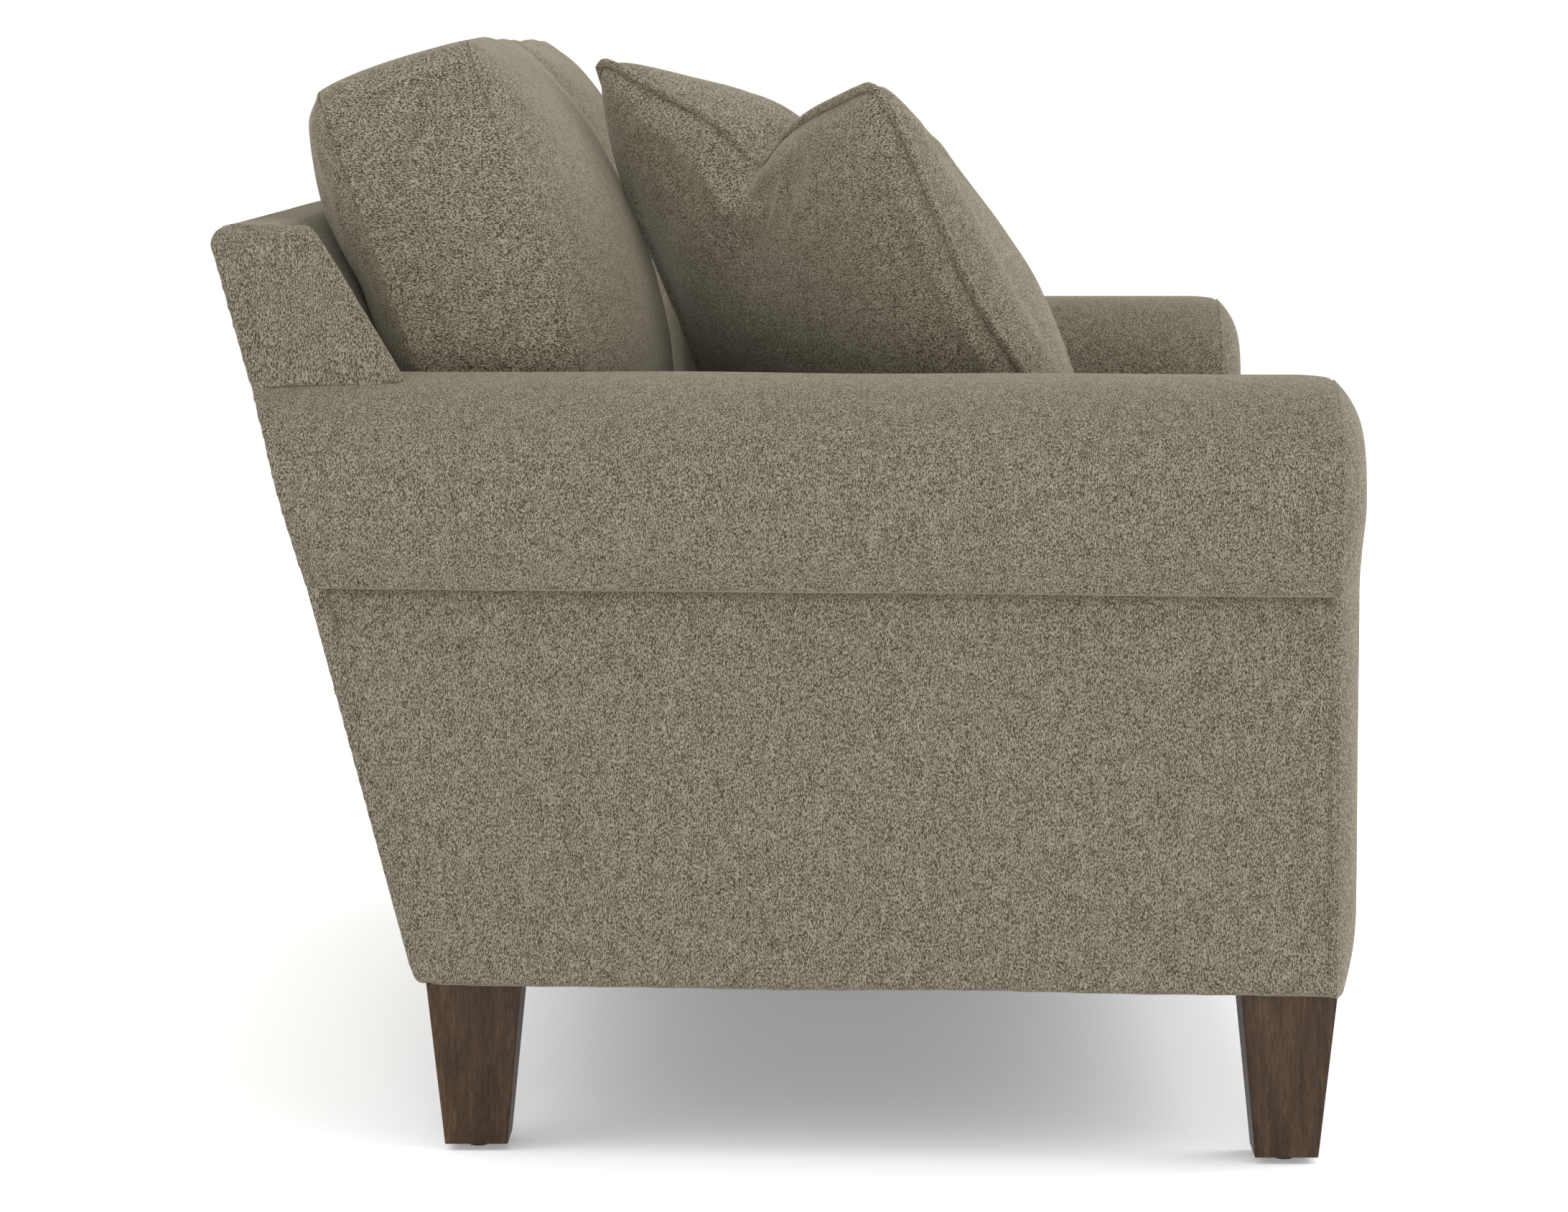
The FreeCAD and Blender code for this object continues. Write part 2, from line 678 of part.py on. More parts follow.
def make_back_frame():
    foot = dim.frame_bottom + dim.block_height
    points = post_points(post_foot_front(), foot, dim.top_rail_head)
    inner = dim.post_outer - dim.post_width
    posts = [upright(f"back_post_{label}", points, inner, dim.post_outer, side) for label, side in SIDES]
    keep(group("back_posts", posts), "back_posts")
    low = dim.top_rail_foot
    high = dim.top_rail_head
    points = [(post_front(low), low), (post_front(high), high), (rear_inner(high), high),
              (rear_inner(low), low)]
    keep(cross_bar("back_top_rail", points, inner), "back_top_rail")
    slope = (dim.inside_knee - dim.inside_foot) / (dim.knee_height - dim.deck_height)
    low = dim.tack_rail_foot
    high = low + dim.tack_rail_height
    face = dim.inside_foot + post_depth() - dim.deck_height * slope
    points = [(face + low * slope, low), (face + high * slope, high),
              (face + high * slope + dim.tack_rail_thickness, high),
              (face + low * slope + dim.tack_rail_thickness, low)]
    tack_rail = keep(cross_bar("back_tack_rail", points, inner), "back_tack_rail")
    foot = dim.rail_top
    points = post_points(post_front_at_rail(), foot, dim.top_rail_foot)
    centre = cross_bar("back_centre_post_blank", points, dim.brace_width / 2)
    keep(cut("back_centre_post", centre, tack_rail), "back_centre_post")


def make_back_straps():
    """Six elastic straps from the tack rail to the top rail."""
    low = dim.tack_rail_foot
    high = dim.top_rail_head
    slope = (dim.inside_knee - dim.inside_foot) / (dim.knee_height - dim.deck_height)
    first = dim.inside_foot + dim.back_pad + (low - dim.deck_height) * slope
    front = [(first, low)] + post_front_points(dim.back_pad)[1:]
    front.append((post_front(high) - dim.strap_thickness, high))
    rear = [(y + dim.strap_thickness, z) for y, z in reversed(front)]
    straps = []
    for step in (-2.5, -1.5, -0.5, 0.5, 1.5, 2.5):
        body = new_body(f"strap_{len(straps) + 1}")
        pad(body, outline(body, "YZ_Plane", front + rear), dim.strap_width)
        place(body, x=step * dim.strap_pitch - dim.strap_width / 2)
        straps.append(body)
    keep(group("back_straps", straps), "back_straps")


# Seat suspension and deck.

def spring_path(length, pitch, reach):
    """Zigzag of straight legs across the seat joined by half turns, flat and from y = 0."""
    radius = pitch / 2
    turns = int(length / pitch)
    edges = []
    for i in range(turns + 1):
        way = 1 if i % 2 == 0 else -1
        y = i * pitch
        start = Vector(-reach * way, y, 0)
        end = Vector(reach * way, y, 0)
        edges.append(Part.LineSegment(start, end).toShape())
        if i == turns:
            break
        side = Vector((reach + radius) * way, y + radius, 0)
        slant = radius * math.sqrt(0.5)
        first = Vector(reach * way + slant * way, y + radius - slant, 0)
        second = Vector(reach * way + slant * way, y + radius + slant, 0)
        after = Vector(reach * way, y + pitch, 0)
        edges.append(Part.Arc(end, first, side).toShape())
        edges.append(Part.Arc(side, second, after).toShape())
    return Part.Wire(edges), turns


def make_seat_springs():
    """Zigzag springs, their clips on the rails and the tie wires laid across them."""
    wire = dim.spring_radius.value
    level = dim.spring_level.value
    front = dim.rail_thickness.value - dim.seam_front.value
    rear = dim.back_rail_face.value
    end_gap = dim.spring_end_gap.value
    pitch_count = int((rear - front) / dim.spring_pitch.value)
    pitch = (rear - front + 2 * end_gap) / (pitch_count + 1)
    path, turns = spring_path(rear - front + 2 * end_gap + 0.01, pitch, dim.spring_reach.value)
    first = front - end_gap
    profile = Part.Wire([Part.Circle(Vector(-dim.spring_reach.value, 0, 0), Vector(1, 0, 0), wire).toShape()])
    spring = path.makePipeShell([profile], True, False)
    spacing = dim.spring_spacing.value
    springs = []
    clips = []
    for step in (-2.5, -1.5, -0.5, 0.5, 1.5, 2.5):
        here = Vector(step * spacing, first, level)
        springs.append(spring.translated(here))
        clips += [clip_shape(here.x, first, level, 1), clip_shape(here.x, first + turns * pitch, level, -1)]
    feature = doc.addObject("Part::Feature", "seat_springs")
    feature.Shape = Part.makeCompound(springs)
    keep(feature, "seat_springs")
    feature = doc.addObject("Part::Feature", "spring_clips")
    feature.Shape = Part.makeCompound(clips)
    keep(feature, "spring_clips")
    ties = []
    for share in (1 / 3, 2 / 3):
        row = round(turns * share)
        tie = doc.addObject("Part::Cylinder", f"tie_{row}")
        bind(tie, "Radius", dim.tie_radius)
        bind(tie, "Height", 2 * dim.tie_half_length)
        tie.Placement = Placement(Vector(0, first + row * pitch, 0), Rotation(Vector(0, 1, 0), 90))
        bind(tie, "Placement.Base.x", -dim.tie_half_length)
        bind(tie, "Placement.Base.z", dim.spring_level + dim.spring_radius + dim.tie_radius)
        ties.append(tie)
    keep(group("spring_tie_wires", ties), "spring_tie_wires")


def clip_shape(x, y, level, way):
    """Folded steel clip that holds a spring's end leg down on its rail, open towards the seat."""
    wire = dim.spring_radius.value
    sheet_metal = dim.clip_thickness.value
    outer = wire + sheet_metal
    low = level - outer
    lip = wire * 1.5
    points = [(lip, low), (-outer - lip, low), (-outer - lip, low + sheet_metal), (-outer, low + sheet_metal),
              (-outer, level + outer), (lip, level + outer), (lip, level + wire), (-wire, level + wire),
              (-wire, level - wire), (lip, level - wire)]
    corners = [Vector(x, y + way * across, height) for across, height in points]
    face = Part.Face(Part.makePolygon(corners + corners[:1]))
    width = dim.clip_width.value
    return face.extrude(Vector(width, 0, 0)).translated(Vector(-width / 2, 0, 0))


def plan_sheet(name, front, rear, half_at_front_plane, low, high):
    """Flat layer between two heights whose sides run in with the arms."""
    shift = tangent(dim.toe_in_angle)
    body = new_body(name)
    wide = half_at_front_plane - shift * (front + dim.seam_front)
    narrow = half_at_front_plane - shift * (rear + dim.seam_front)
    points = [(-wide, front), (wide, front), (narrow, rear), (-narrow, rear)]
    pad(body, outline(body, "XY_Plane", points), high - low)
    place(body, z=low)
    return body


def make_deck(rear_limit):
    half = dim.arm_crest - dim.panel_inset
    rail_rear = dim.rail_thickness - dim.seam_front
    cloth_foot = dim.deck_height - dim.cloth_thickness
    keep(plan_sheet("deck_pad", rail_rear, post_front_at_rail(), half, dim.deck_pad_foot, cloth_foot),
         "deck_pad")
    keep(plan_sheet("front_edge_roll", -dim.seam_front, rail_rear, half, dim.deck_pad_foot, cloth_foot),
         "front_edge_roll")
    keep(plan_sheet("deck_cloth", -dim.seam_front, dim.inside_foot + dim.back_pad, half, cloth_foot,
                    dim.deck_height), "deck_cloth")
    border = box("front_border", -half, half, -dim.seam_front - dim.border_thickness, -dim.seam_front,
                 dim.body_bottom, dim.deck_height)
    keep(border, "front_border")
    outer = dim.arm_crest + dim.arm_frame_outset
    low = dim.body_bottom
    cloth = plan_sheet("dust_cover_blank", -dim.seam_front, rear_inner(dim.frame_bottom), outer, low,
                       dim.frame_bottom)
    holes = [cylinder(f"dust_cover_hole_{label}", dim.bolt_radius, dim.dust_cloth_thickness, x, y, low)
             for label, x, y in leg_places()]
    keep(cut("dust_cover", cloth, rear_limit, *holes), "dust_cover")


# Upholstery of the arms.

def make_arm_cover(label, side, rear_limit, back_zone):
    outset = dim.panel_outset
    inset = dim.panel_inset
    lip = dim.roll_lip
    seam = dim.roll_seam_height
    inner_face = outset - dim.panel_thickness
    section = [(inner_face, dim.body_bottom), (outset, dim.body_bottom), (outset, seam), (inner_face, seam)]
    outside = toed_bar(f"outside_arm_{label}_blank", side, section, as_size(0), arm_length())
    keep(cut(f"outside_arm_{label}", outside, rear_limit), f"outside_arm_{label}")
    foot = dim.rail_top
    section = [(-inset, foot), (-inset + dim.panel_thickness, foot), (-inset + dim.panel_thickness, seam),
               (-inset, seam)]
    inside = toed_bar(f"inside_arm_{label}_blank", side, section, as_size(0), arm_length())
    keep(cut(f"inside_arm_{label}", inside, back_zone), f"inside_arm_{label}")
    points, arcs = roll_points(outset + lip, inset + lip)
    notch = dim.arm_frame_outset
    notch_top = dim.arm_board_foot + dim.arm_board_thickness
    points += [(-notch, seam), (-notch, notch_top), (notch, notch_top), (notch, seam)]
    roll = toed_bar(f"arm_roll_{label}_blank", side, points, as_size(0), arm_length(), arcs)
    keep(cut(f"arm_roll_{label}", roll, rear_limit, back_zone), f"arm_roll_{label}")


def make_arm_front(label, side):
    """Padded front panel: a narrow stem with a round head over the roll's end."""
    points, arcs = roll_points(dim.panel_outset + dim.roll_lip, dim.panel_inset)
    points += [(-dim.panel_inset, dim.body_bottom), (dim.panel_outset, dim.body_bottom)]
    body = new_body(f"arm_front_panel_{label}")
    ends = [(side * (dim.arm_crest + out), height) for out, height in points]
    turns = {i: (radius, bulge * -side) for i, (radius, bulge) in arcs.items()}
    base = pad(body, outline(body, "XZ_Plane", ends, turns), dim.front_panel_thickness)
    doc.recompute()
    front_edges = []
    for number, edge in enumerate(base.Shape.Edges, start=1):
        if all(abs(vertex.Y + dim.front_panel_thickness.value) < 0.01 for vertex in edge.Vertexes):
            front_edges.append(f"Edge{number}")
    rounding = body.newObject("PartDesign::Fillet", body.Name + "_round")
    rounding.Base = (base, front_edges)
    bind(rounding, "Radius", dim.front_panel_round)
    place(body, y=-dim.seam_front)
    keep(body, f"arm_front_panel_{label}")


# Upholstery of the back.

def rear_out(out, height):
    """Distance from the middle of a point of the arm's section, at the outside back."""
    return dim.arm_crest + out - tangent(dim.toe_in_angle) * (dim.seam_front + rear_face(height))


def make_outside_back():
    """Raked rear panel: as wide as the arms below, and as the back above them."""
    seam = dim.roll_seam_height
    axis = dim.roll_axis_height
    radius = dim.roll_radius
    lip_out = dim.panel_outset + dim.roll_lip
    bottom = dim.body_bottom
    wide = dim.back_half_width
    over = wide - rear_out(as_size(0), dim.waist_height)
    meet = axis + root(radius * radius - over * over)
    round_by = dim.back_corner_round
    half = [(rear_out(dim.panel_outset, bottom), bottom), (rear_out(lip_out, seam), seam),
            (rear_out(radius, axis), axis), (wide, meet), (wide, dim.back_top - round_by),
            (wide - round_by, dim.back_top)]
    turns = {1: (roll_turn(lip_out, seam), -1), 2: (radius, -1), 4: (round_by, -1)}
    points = half + [(-x, z) for x, z in reversed(half)]
    last = len(points) - 2
    arcs = dict(turns)
    arcs.update({last - side: turn for side, turn in turns.items()})
    body = new_body("outside_back_outline")
    pad(body, outline(body, "XZ_Plane", points, arcs), 2 * dim.back_top, backwards=True)
    low = as_size(0)
    high = 2 * dim.back_top
    section = [(rear_inner(low), low), (rear_face(low), low), (rear_face(high), high),
               (rear_inner(high), high)]
    slab = cross_bar("outside_back_slab", section, dim.arm_crest + 2 * radius)
    whole = doc.addObject("Part::Common", "outside_back")
    whole.Base = body
    whole.Tool = slab
    keep(whole, "outside_back")


def make_inside_back(envelopes):
    """Pad over the straps that also caps the top rail."""
    top = dim.back_top
    head = dim.top_rail_head
    shoulder = dim.shoulder_height
    front = post_front_points(as_size(0)) + [(dim.inside_top, shoulder)]
    points = front + [(dim.inside_top + (top - shoulder), top), (rear_inner(top), top),
                      (rear_inner(head), head), (inside_upper(head) + dim.back_pad, head)]
    points += [(y, z) for y, z in reversed(post_front_points(dim.back_pad))]
    half = dim.back_half_width - dim.panel_thickness
    blank = cross_bar("inside_back_blank", points, half)
    keep(cut("inside_back", blank, *envelopes), "inside_back")


def make_back_ends(envelopes):
    """Square end panels of the back above the arms, a little forward of the inside back."""
    top = dim.back_top
    shoulder = dim.shoulder_height
    low = dim.roll_axis_height
    lead = dim.wing_lead
    points = [(inside_upper(low) - lead, low), (inside_upper(shoulder) - lead, shoulder),
              (inside_upper(shoulder) - lead + (top - shoulder), top), (rear_inner(top), top),
              (rear_inner(low), low)]
    outer = dim.back_half_width
    inner = outer - dim.panel_thickness
    for (label, side), envelope in zip(SIDES, envelopes):
        blank = upright(f"back_end_{label}_blank", points, inner, outer, side)
        keep(cut(f"back_end_{label}", blank, envelope), f"back_end_{label}")


# Loose cushions. Their solids have the crown and the drawn-in sides.

def soft_outline(corners, inset, bow, rounding, level, flat_foot=False):
    """Closed wire through four rounded corners whose sides bow out, or draw in if bow is negative."""
    centre = sum(corners, Vector(0, 0, 0)) * 0.25
    moved = []
    for corner in corners:
        way = corner - centre
        moved.append(corner - Vector(math.copysign(inset, way.x), math.copysign(inset, way.y), 0))
    count = len(moved)
    starts = []
    ends = []
    for i, corner in enumerate(moved):
        to_next = (moved[(i + 1) % count] - corner).normalize()
        to_last = (moved[i - 1] - corner).normalize()
        starts.append(corner + to_next * rounding)
        ends.append(corner + to_last * rounding)
    edges = []
    lift = Vector(0, 0, level)
    for i, corner in enumerate(moved):
        pulled = corner + (starts[i] + ends[i] - corner * 2) * (1 - math.sqrt(0.5))
        edges.append(Part.Arc(ends[i] + lift, pulled + lift, starts[i] + lift).toShape())
        a = starts[i]
        b = ends[(i + 1) % count]
        middle = (a + b) * 0.5
        if flat_foot and i == 0:
            edges.append(Part.LineSegment(a + lift, b + lift).toShape())
            continue
        outward = (middle - centre)
        along = (b - a).normalize()
        outward = (outward - along * outward.dot(along)).normalize()
        edges.append(Part.Arc(a + lift, middle + outward * bow + lift, b + lift).toShape())
    return Part.Wire(edges)


def cushion_solid(corners_at, sections, flat_foot=False):
    """Loft through soft outlines. Each section is (level, inset, bow, rounding)."""
    wires = [soft_outline(corners_at(level), inset, bow, rounding, level, flat_foot)
             for level, inset, bow, rounding in sections]
    return Part.makeLoft(wires, True, True)


def feature_from(name, shape, placement=None):
    feature = doc.addObject("Part::Feature", name)
    feature.Shape = shape
    if placement is not None:
        feature.Placement = placement
    return keep(feature, name)


def seat_cushion_corners(side, front, rear):
    """Plan corners of a seat cushion in millimetres, counter-clockwise."""
    shift = math.tan(math.radians(dim.toe_in_angle.value))
    reach = dim.arm_crest.value - dim.roll_radius.value - dim.seat_side_gap.value
    seam = dim.seam_front.value
    near = dim.seat_mid_gap.value / 2
    wide = reach - shift * (front + seam)
    narrow = reach - shift * (rear + seam)
    low, high = (near, wide) if side > 0 else (-wide, -near)
    rear_low, rear_high = (near, narrow) if side > 0 else (-narrow, -near)
    return [Vector(low, front, 0), Vector(high, front, 0), Vector(rear_high, rear, 0),
            Vector(rear_low, rear, 0)]


def make_seat_cushion(label, side):
    """Boxed foam cushion with a crowned top; its foam core is a piece of its own."""
    edge = dim.seat_edge.value
    crown = dim.seat_crown.value
    front = -dim.seat_front.value
    rear = dim.inside_foot.value - dim.seat_clearance.value - 2
    corners = seat_cushion_corners(side, front, rear)
    run = dim.seat_crown_run.value
    turn = dim.cushion_corner.value
    ease = dim.cushion_ease.value
    pull = dim.boxing_pull.value
    sections = [(0, ease, -pull * 0.3, turn * 0.47), (ease * 0.2, ease * 0.36, -pull * 0.3, turn * 0.67),
                (ease * 0.64, ease * 0.07, -pull * 0.7, turn * 0.8), (edge / 2, 0, -pull, turn * 0.93),
                (edge - ease * 0.43, ease * 0.07, -pull * 0.7, turn * 0.8),
                (edge + crown * 0.2, run * 0.067, -pull * 0.7, turn * 0.87),
                (edge + crown * 0.62, run / 3, pull / 3, turn * 1.67),
                (edge + crown * 0.9, run * 2 / 3, pull, turn * 2), (edge + crown, run, pull, turn * 1.33)]
    solid = cushion_solid(lambda level: corners, sections)
    depth = dim.core_depth.value
    low = depth / 2
    core = cushion_solid(lambda level: corners, [(level, depth, -pull * 0.7, depth / 3)
                                                 for level in (low, edge / 2, edge - low)])
    lift = Placement(Vector(0, 0, dim.seat_foot.value), Rotation())
    feature_from(f"seat_cushion_{label}", solid.cut(core), lift)
    feature_from(f"seat_cushion_foam_{label}", core, lift)


def make_back_cushion(label, side):
    """Boxed back cushion that leans on the back, full in front and flat on its foot."""
    lean = math.radians(dim.back_cushion_lean_angle.value)
    height = dim.back_cushion_height.value
    half = dim.back_cushion_boxing.value / 2
    front = dim.back_cushion_front_crown.value
    rear = dim.back_cushion_rear_crown.value
    near = dim.back_cushion_gap.value / 2
    far = dim.back_cushion_reach.value
    low, high = (near, far) if side > 0 else (-far, -near)

    def corners_at(level):
        foot = -level * math.tan(lean)
        return [Vector(low, foot, 0), Vector(high, foot, 0), Vector(high, height, 0), Vector(low, height, 0)]

    run = dim.back_crown_run.value
    turn = dim.cushion_corner.value
    swell = dim.back_crown_swell.value
    sections = [(-half - rear, run * 0.8, swell * 0.4, turn * 2),
                (-half - rear * 0.8, run * 0.44, swell * 0.4, turn * 1.67),
                (-half - rear * 0.35, run * 0.12, swell * 0.2, turn * 1.33),
                (-half, run * 0.02, -swell * 0.1, turn), (0, 0, -swell * 0.2, turn),
                (half, run * 0.02, -swell * 0.2, turn),
                (half + front * 0.25, run * 0.067, swell * 0.2, turn * 1.33),
                (half + front * 0.5, run * 0.173, swell * 0.5, turn * 1.67),
                (half + front * 0.72, run / 3, swell * 0.8, turn * 2),
                (half + front * 0.9, run * 0.613, swell, turn * 2), (half + front, run, swell, turn * 1.33)]
    solid = cushion_solid(corners_at, sections, flat_foot=True)
    depth = dim.core_depth.value
    core = cushion_solid(corners_at, [(-half + depth * 0.2, depth, -swell * 0.1, depth * 0.67),
                                      (0, depth, -swell * 0.1, depth * 0.67),
                                      (half + front * 0.3, depth * 1.8, -swell * 0.1, depth * 0.67)])
    turn = Rotation(Vector(1, 0, 0), 90 - dim.back_cushion_lean_angle.value)
    lift = Placement(Vector(0, dim.back_cushion_y.value, dim.back_cushion_foot.value), turn)
    feature_from(f"back_cushion_{label}", solid.cut(core), lift)
    feature_from(f"back_cushion_fill_{label}", core, lift)


def pillow_outline(size, fullness, corner, level):
    """Pillow's section: its corners at one share of the full outline, its sides at another."""
    foot = dim.pillow_foot.value / 2 * size
    head = dim.pillow_head.value / 2 * size
    half = dim.pillow_height.value / 2 * size
    draw = dim.pillow_draw.value * size
    chop = dim.pillow_chop.value * size
    a, b = Vector(-foot * corner, -half * corner, level), Vector(foot * corner, -half * corner, level)
    c, d = Vector(head * corner, half * corner, level), Vector(-head * corner, half * corner, level)
    valley = Vector(0, (half - chop) * fullness, level)
    side = ((foot + head) / 2 - draw) * fullness
    shoulder = Vector((c.x + valley.x) * 0.5, (c.y + valley.y) * 0.5 + chop * 0.09 * fullness, level)
    edges = [Part.Arc(a, Vector(0, (draw - half) * fullness, level), b),
             Part.Arc(b, Vector(side, 0, level), c),
             Part.Arc(c, shoulder, valley), Part.Arc(valley, Vector(-shoulder.x, shoulder.y, level), d),
             Part.Arc(d, Vector(-side, 0, level), a)]
    return Part.Wire([edge.toShape() for edge in edges])


def pillow_solid(size):
    """Knife-edged pillow as a front and a rear crown, shrunk by the factor size."""
    steps = [(0, 1, 1), (0.3, 0.96, 0.86), (0.55, 0.9, 0.74), (0.76, 0.79, 0.6), (0.92, 0.6, 0.42),
             (1, 0.32, 0.2)]
    halves = []
    for thick in (dim.pillow_front_crown.value * size, -dim.pillow_rear_crown.value * size):
        wires = [pillow_outline(size, fullness, corner, thick * level) for level, fullness, corner in steps]
        halves.append(Part.makeLoft(wires, True, True))
    return halves[0].fuse(halves[1]).removeSplitter()


def make_pillow(label, side):
    """Throw pillow that stands on the seat and leans into the corner of arm and back."""
    lean = dim.pillow_lean_angle.value
    if side > 0:
        lean += dim.pillow_extra_lean_angle.value
    roll = math.radians(dim.pillow_roll_angle.value)
    turn = Rotation(Vector(0, 0, 1), -side * dim.pillow_yaw_angle.value)
    turn = turn.multiply(Rotation(Vector(1, 0, 0), 90 - lean))
    turn = turn.multiply(Rotation(Vector(0, 0, 1), -side * dim.pillow_roll_angle.value))
    drop = dim.pillow_foot.value / 2 * math.sin(roll) + dim.pillow_height.value / 2 * math.cos(roll)
    stand = (dim.seat_top + dim.seat_clearance - dim.pillow_settle).value
    middle = Vector(side * dim.pillow_x.value, dim.pillow_y.value,
                    stand + drop * math.cos(math.radians(lean)))
    insert = pillow_solid(0.88)
    feature_from(f"pillow_{label}", pillow_solid(1).cut(insert), Placement(middle, turn))
    feature_from(f"pillow_insert_{label}", insert, Placement(middle, turn))


def build():
    rear_limit = rear_limit_tool()
    back_zone = back_zone_tool()
    envelopes = [arm_envelope(label, side) for label, side in SIDES]
    for label, x, y in leg_places():
        make_leg(label, x, y)
    make_leg_fittings()
    rear_blocks = make_corner_blocks(rear_limit)
    make_seat_frame(rear_limit, rear_blocks)
    make_arm_slats()
    make_back_frame()
    make_back_straps()
    make_seat_springs()
    make_deck(rear_limit)
    for label, side in SIDES:
        make_arm_frame(label, side, rear_limit, back_zone)
        make_arm_cover(label, side, rear_limit, back_zone)
        make_arm_front(label, side)
        make_seat_cushion(label, side)
        make_back_cushion(label, side)
        make_pillow(label, side)
    make_outside_back()
    make_inside_back(envelopes)
    make_back_ends(envelopes)
    doc.recompute()


def check_document():
    for obj in doc.Objects:
        if "Invalid" in obj.State or "Error" in obj.State:
            raise RuntimeError(f"{obj.Label} failed: {obj.State}")
    for name, obj in nodes.items():
        if obj.Shape.isNull() or not obj.Shape.isValid() or not obj.Shape.Solids:
            raise RuntimeError(f"{name} has no valid solid")


def write_files():
    os.makedirs("parts", exist_ok=True)
    for name, obj in nodes.items():
        obj.Shape.exportStep(f"parts/{name}.step")
        bounds = obj.Shape.BoundBox
        print(f"{name}: {len(obj.Shape.Solids)} solids, {obj.Shape.Volume / 1000:.1f} cm3, "
              f"x {bounds.XMin:.1f} {bounds.XMax:.1f} y {bounds.YMin:.1f} {bounds.YMax:.1f} "
              f"z {bounds.ZMin:.1f} {bounds.ZMax:.1f}")


build()
check_document()
write_files()
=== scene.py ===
import json
import math

import bmesh
import bpy
import numpy as np
from mathutils import Matrix, Vector


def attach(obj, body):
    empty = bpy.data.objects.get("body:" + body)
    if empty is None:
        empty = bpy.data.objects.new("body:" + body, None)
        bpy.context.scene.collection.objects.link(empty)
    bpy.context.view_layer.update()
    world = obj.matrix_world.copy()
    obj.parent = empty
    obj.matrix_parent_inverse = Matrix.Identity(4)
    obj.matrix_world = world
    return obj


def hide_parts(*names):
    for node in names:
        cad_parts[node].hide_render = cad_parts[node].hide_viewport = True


# Two-seat sofa with rolled arms. Metres, +Z up, the sitter looks along -Y.
# The left side, at -X, is the near side in the photograph.

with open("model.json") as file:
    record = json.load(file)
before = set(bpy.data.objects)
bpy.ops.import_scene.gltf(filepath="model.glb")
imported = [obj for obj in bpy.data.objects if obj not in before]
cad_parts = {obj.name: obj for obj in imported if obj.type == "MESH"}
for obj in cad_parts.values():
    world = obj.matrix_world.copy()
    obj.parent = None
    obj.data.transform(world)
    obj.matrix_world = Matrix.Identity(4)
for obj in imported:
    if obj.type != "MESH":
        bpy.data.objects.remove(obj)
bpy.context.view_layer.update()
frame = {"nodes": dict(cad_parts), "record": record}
MM = 0.001
SIDES = (("left", -1), ("right", 1))

# Arms: the roll's middle line and radius at the front, the seam under it, the upholstery's foot, the front
# panel's stem, and the toe-in, which is how far the arm runs towards the middle for each metre to the rear.
ROLL_X, ROLL_Z, ROLL_R = 618 * MM, 568 * MM, 88 * MM
FRONT_Y, SEAM_Z, FOOT_Z = -453.5 * MM, 480 * MM, 146 * MM
STEM_OUT, STEM_IN = 64 * MM, 78 * MM
TOE = math.tan(math.radians(3.95))
SEAM_FILL, SHOULDER = 0.8 * MM, 3.0 * MM
HEAD_R = ROLL_R - SHOULDER
LIP, LIP_REACH = 5.5 * MM, 100 * MM

# Back: the lean of its rear face, its upper rear corner, how much fuller it is than the solid, its sides, and
# the rim of a back end in the side view (y, z) in millimetres.
RAKE = math.radians(14.75)
BACK_TOP, BACK_REAR = 779.8 * MM, 483.5 * MM
BACK_FULL, BACK_LOWER = 4.8 * MM, 2.2 * MM
BACK_SIDE, BACK_ROUND = 600 * MM, 14 * MM
WING_EDGE = [(285, 611), (317.5, 659), (394.5, 771.3), (397, 774.8), (400.5, 778), (404.1, 779.8),
             (476, 779.8)]

# Loose cushions: the seat's foot and top in millimetres, the back cushion's lean, the points in each ring, the
# keys of the rings' levels, and how far out the rings lie that close each end.
SEAT_FOOT, SEAT_TOP = 350.3, 505.3
CUSHION_LEAN = math.radians(19)
RING_POINTS = 160
CUSHION_KEYS = list(range(13))
END_SHARES = (0.86, 0.7, 0.54, 0.38, 0.22, 0.09)


# Materials.

def new_material(name):
    material = bpy.data.materials.new(name)
    material.use_nodes = True
    tree = material.node_tree
    return material, tree, tree.nodes["Principled BSDF"]


def add(tree, kind, **values):
    node = tree.nodes.new(kind)
    for key, value in values.items():
        setattr(node, key, value)
    return node


def object_coordinates(tree, stretch=(1, 1, 1), turn=(0, 0, 0)):
    """Object coordinates turned and then stretched, so that a pattern follows the piece's own lie."""
    source = add(tree, "ShaderNodeTexCoord")
    turned = add(tree, "ShaderNodeMapping", vector_type="TEXTURE")
    turned.inputs["Rotation"].default_value = turn
    mapping = add(tree, "ShaderNodeMapping")
    mapping.inputs["Scale"].default_value = stretch
    tree.links.new(source.outputs["Object"], turned.inputs["Vector"])
    tree.links.new(turned.outputs["Vector"], mapping.inputs["Vector"])
    return mapping.outputs["Vector"]


def noise(tree, vector, scale, detail=2.0, rough=0.5, distortion=0.0):
    node = add(tree, "ShaderNodeTexNoise")
    node.inputs["Scale"].default_value = scale
    node.inputs["Detail"].default_value = detail
    node.inputs["Roughness"].default_value = rough
    node.inputs["Distortion"].default_value = distortion
    tree.links.new(vector, node.inputs["Vector"])
    return node.outputs["Fac"]


def ramp(tree, value, stops):
    node = add(tree, "ShaderNodeValToRGB")
    points = node.color_ramp.elements
    while len(points) < len(stops):
        points.new(0.5)
    for point, (place, colour) in zip(points, stops):
        point.position = place
        point.color = (*colour, 1)
    tree.links.new(value, node.inputs["Fac"])
    return node.outputs["Color"]


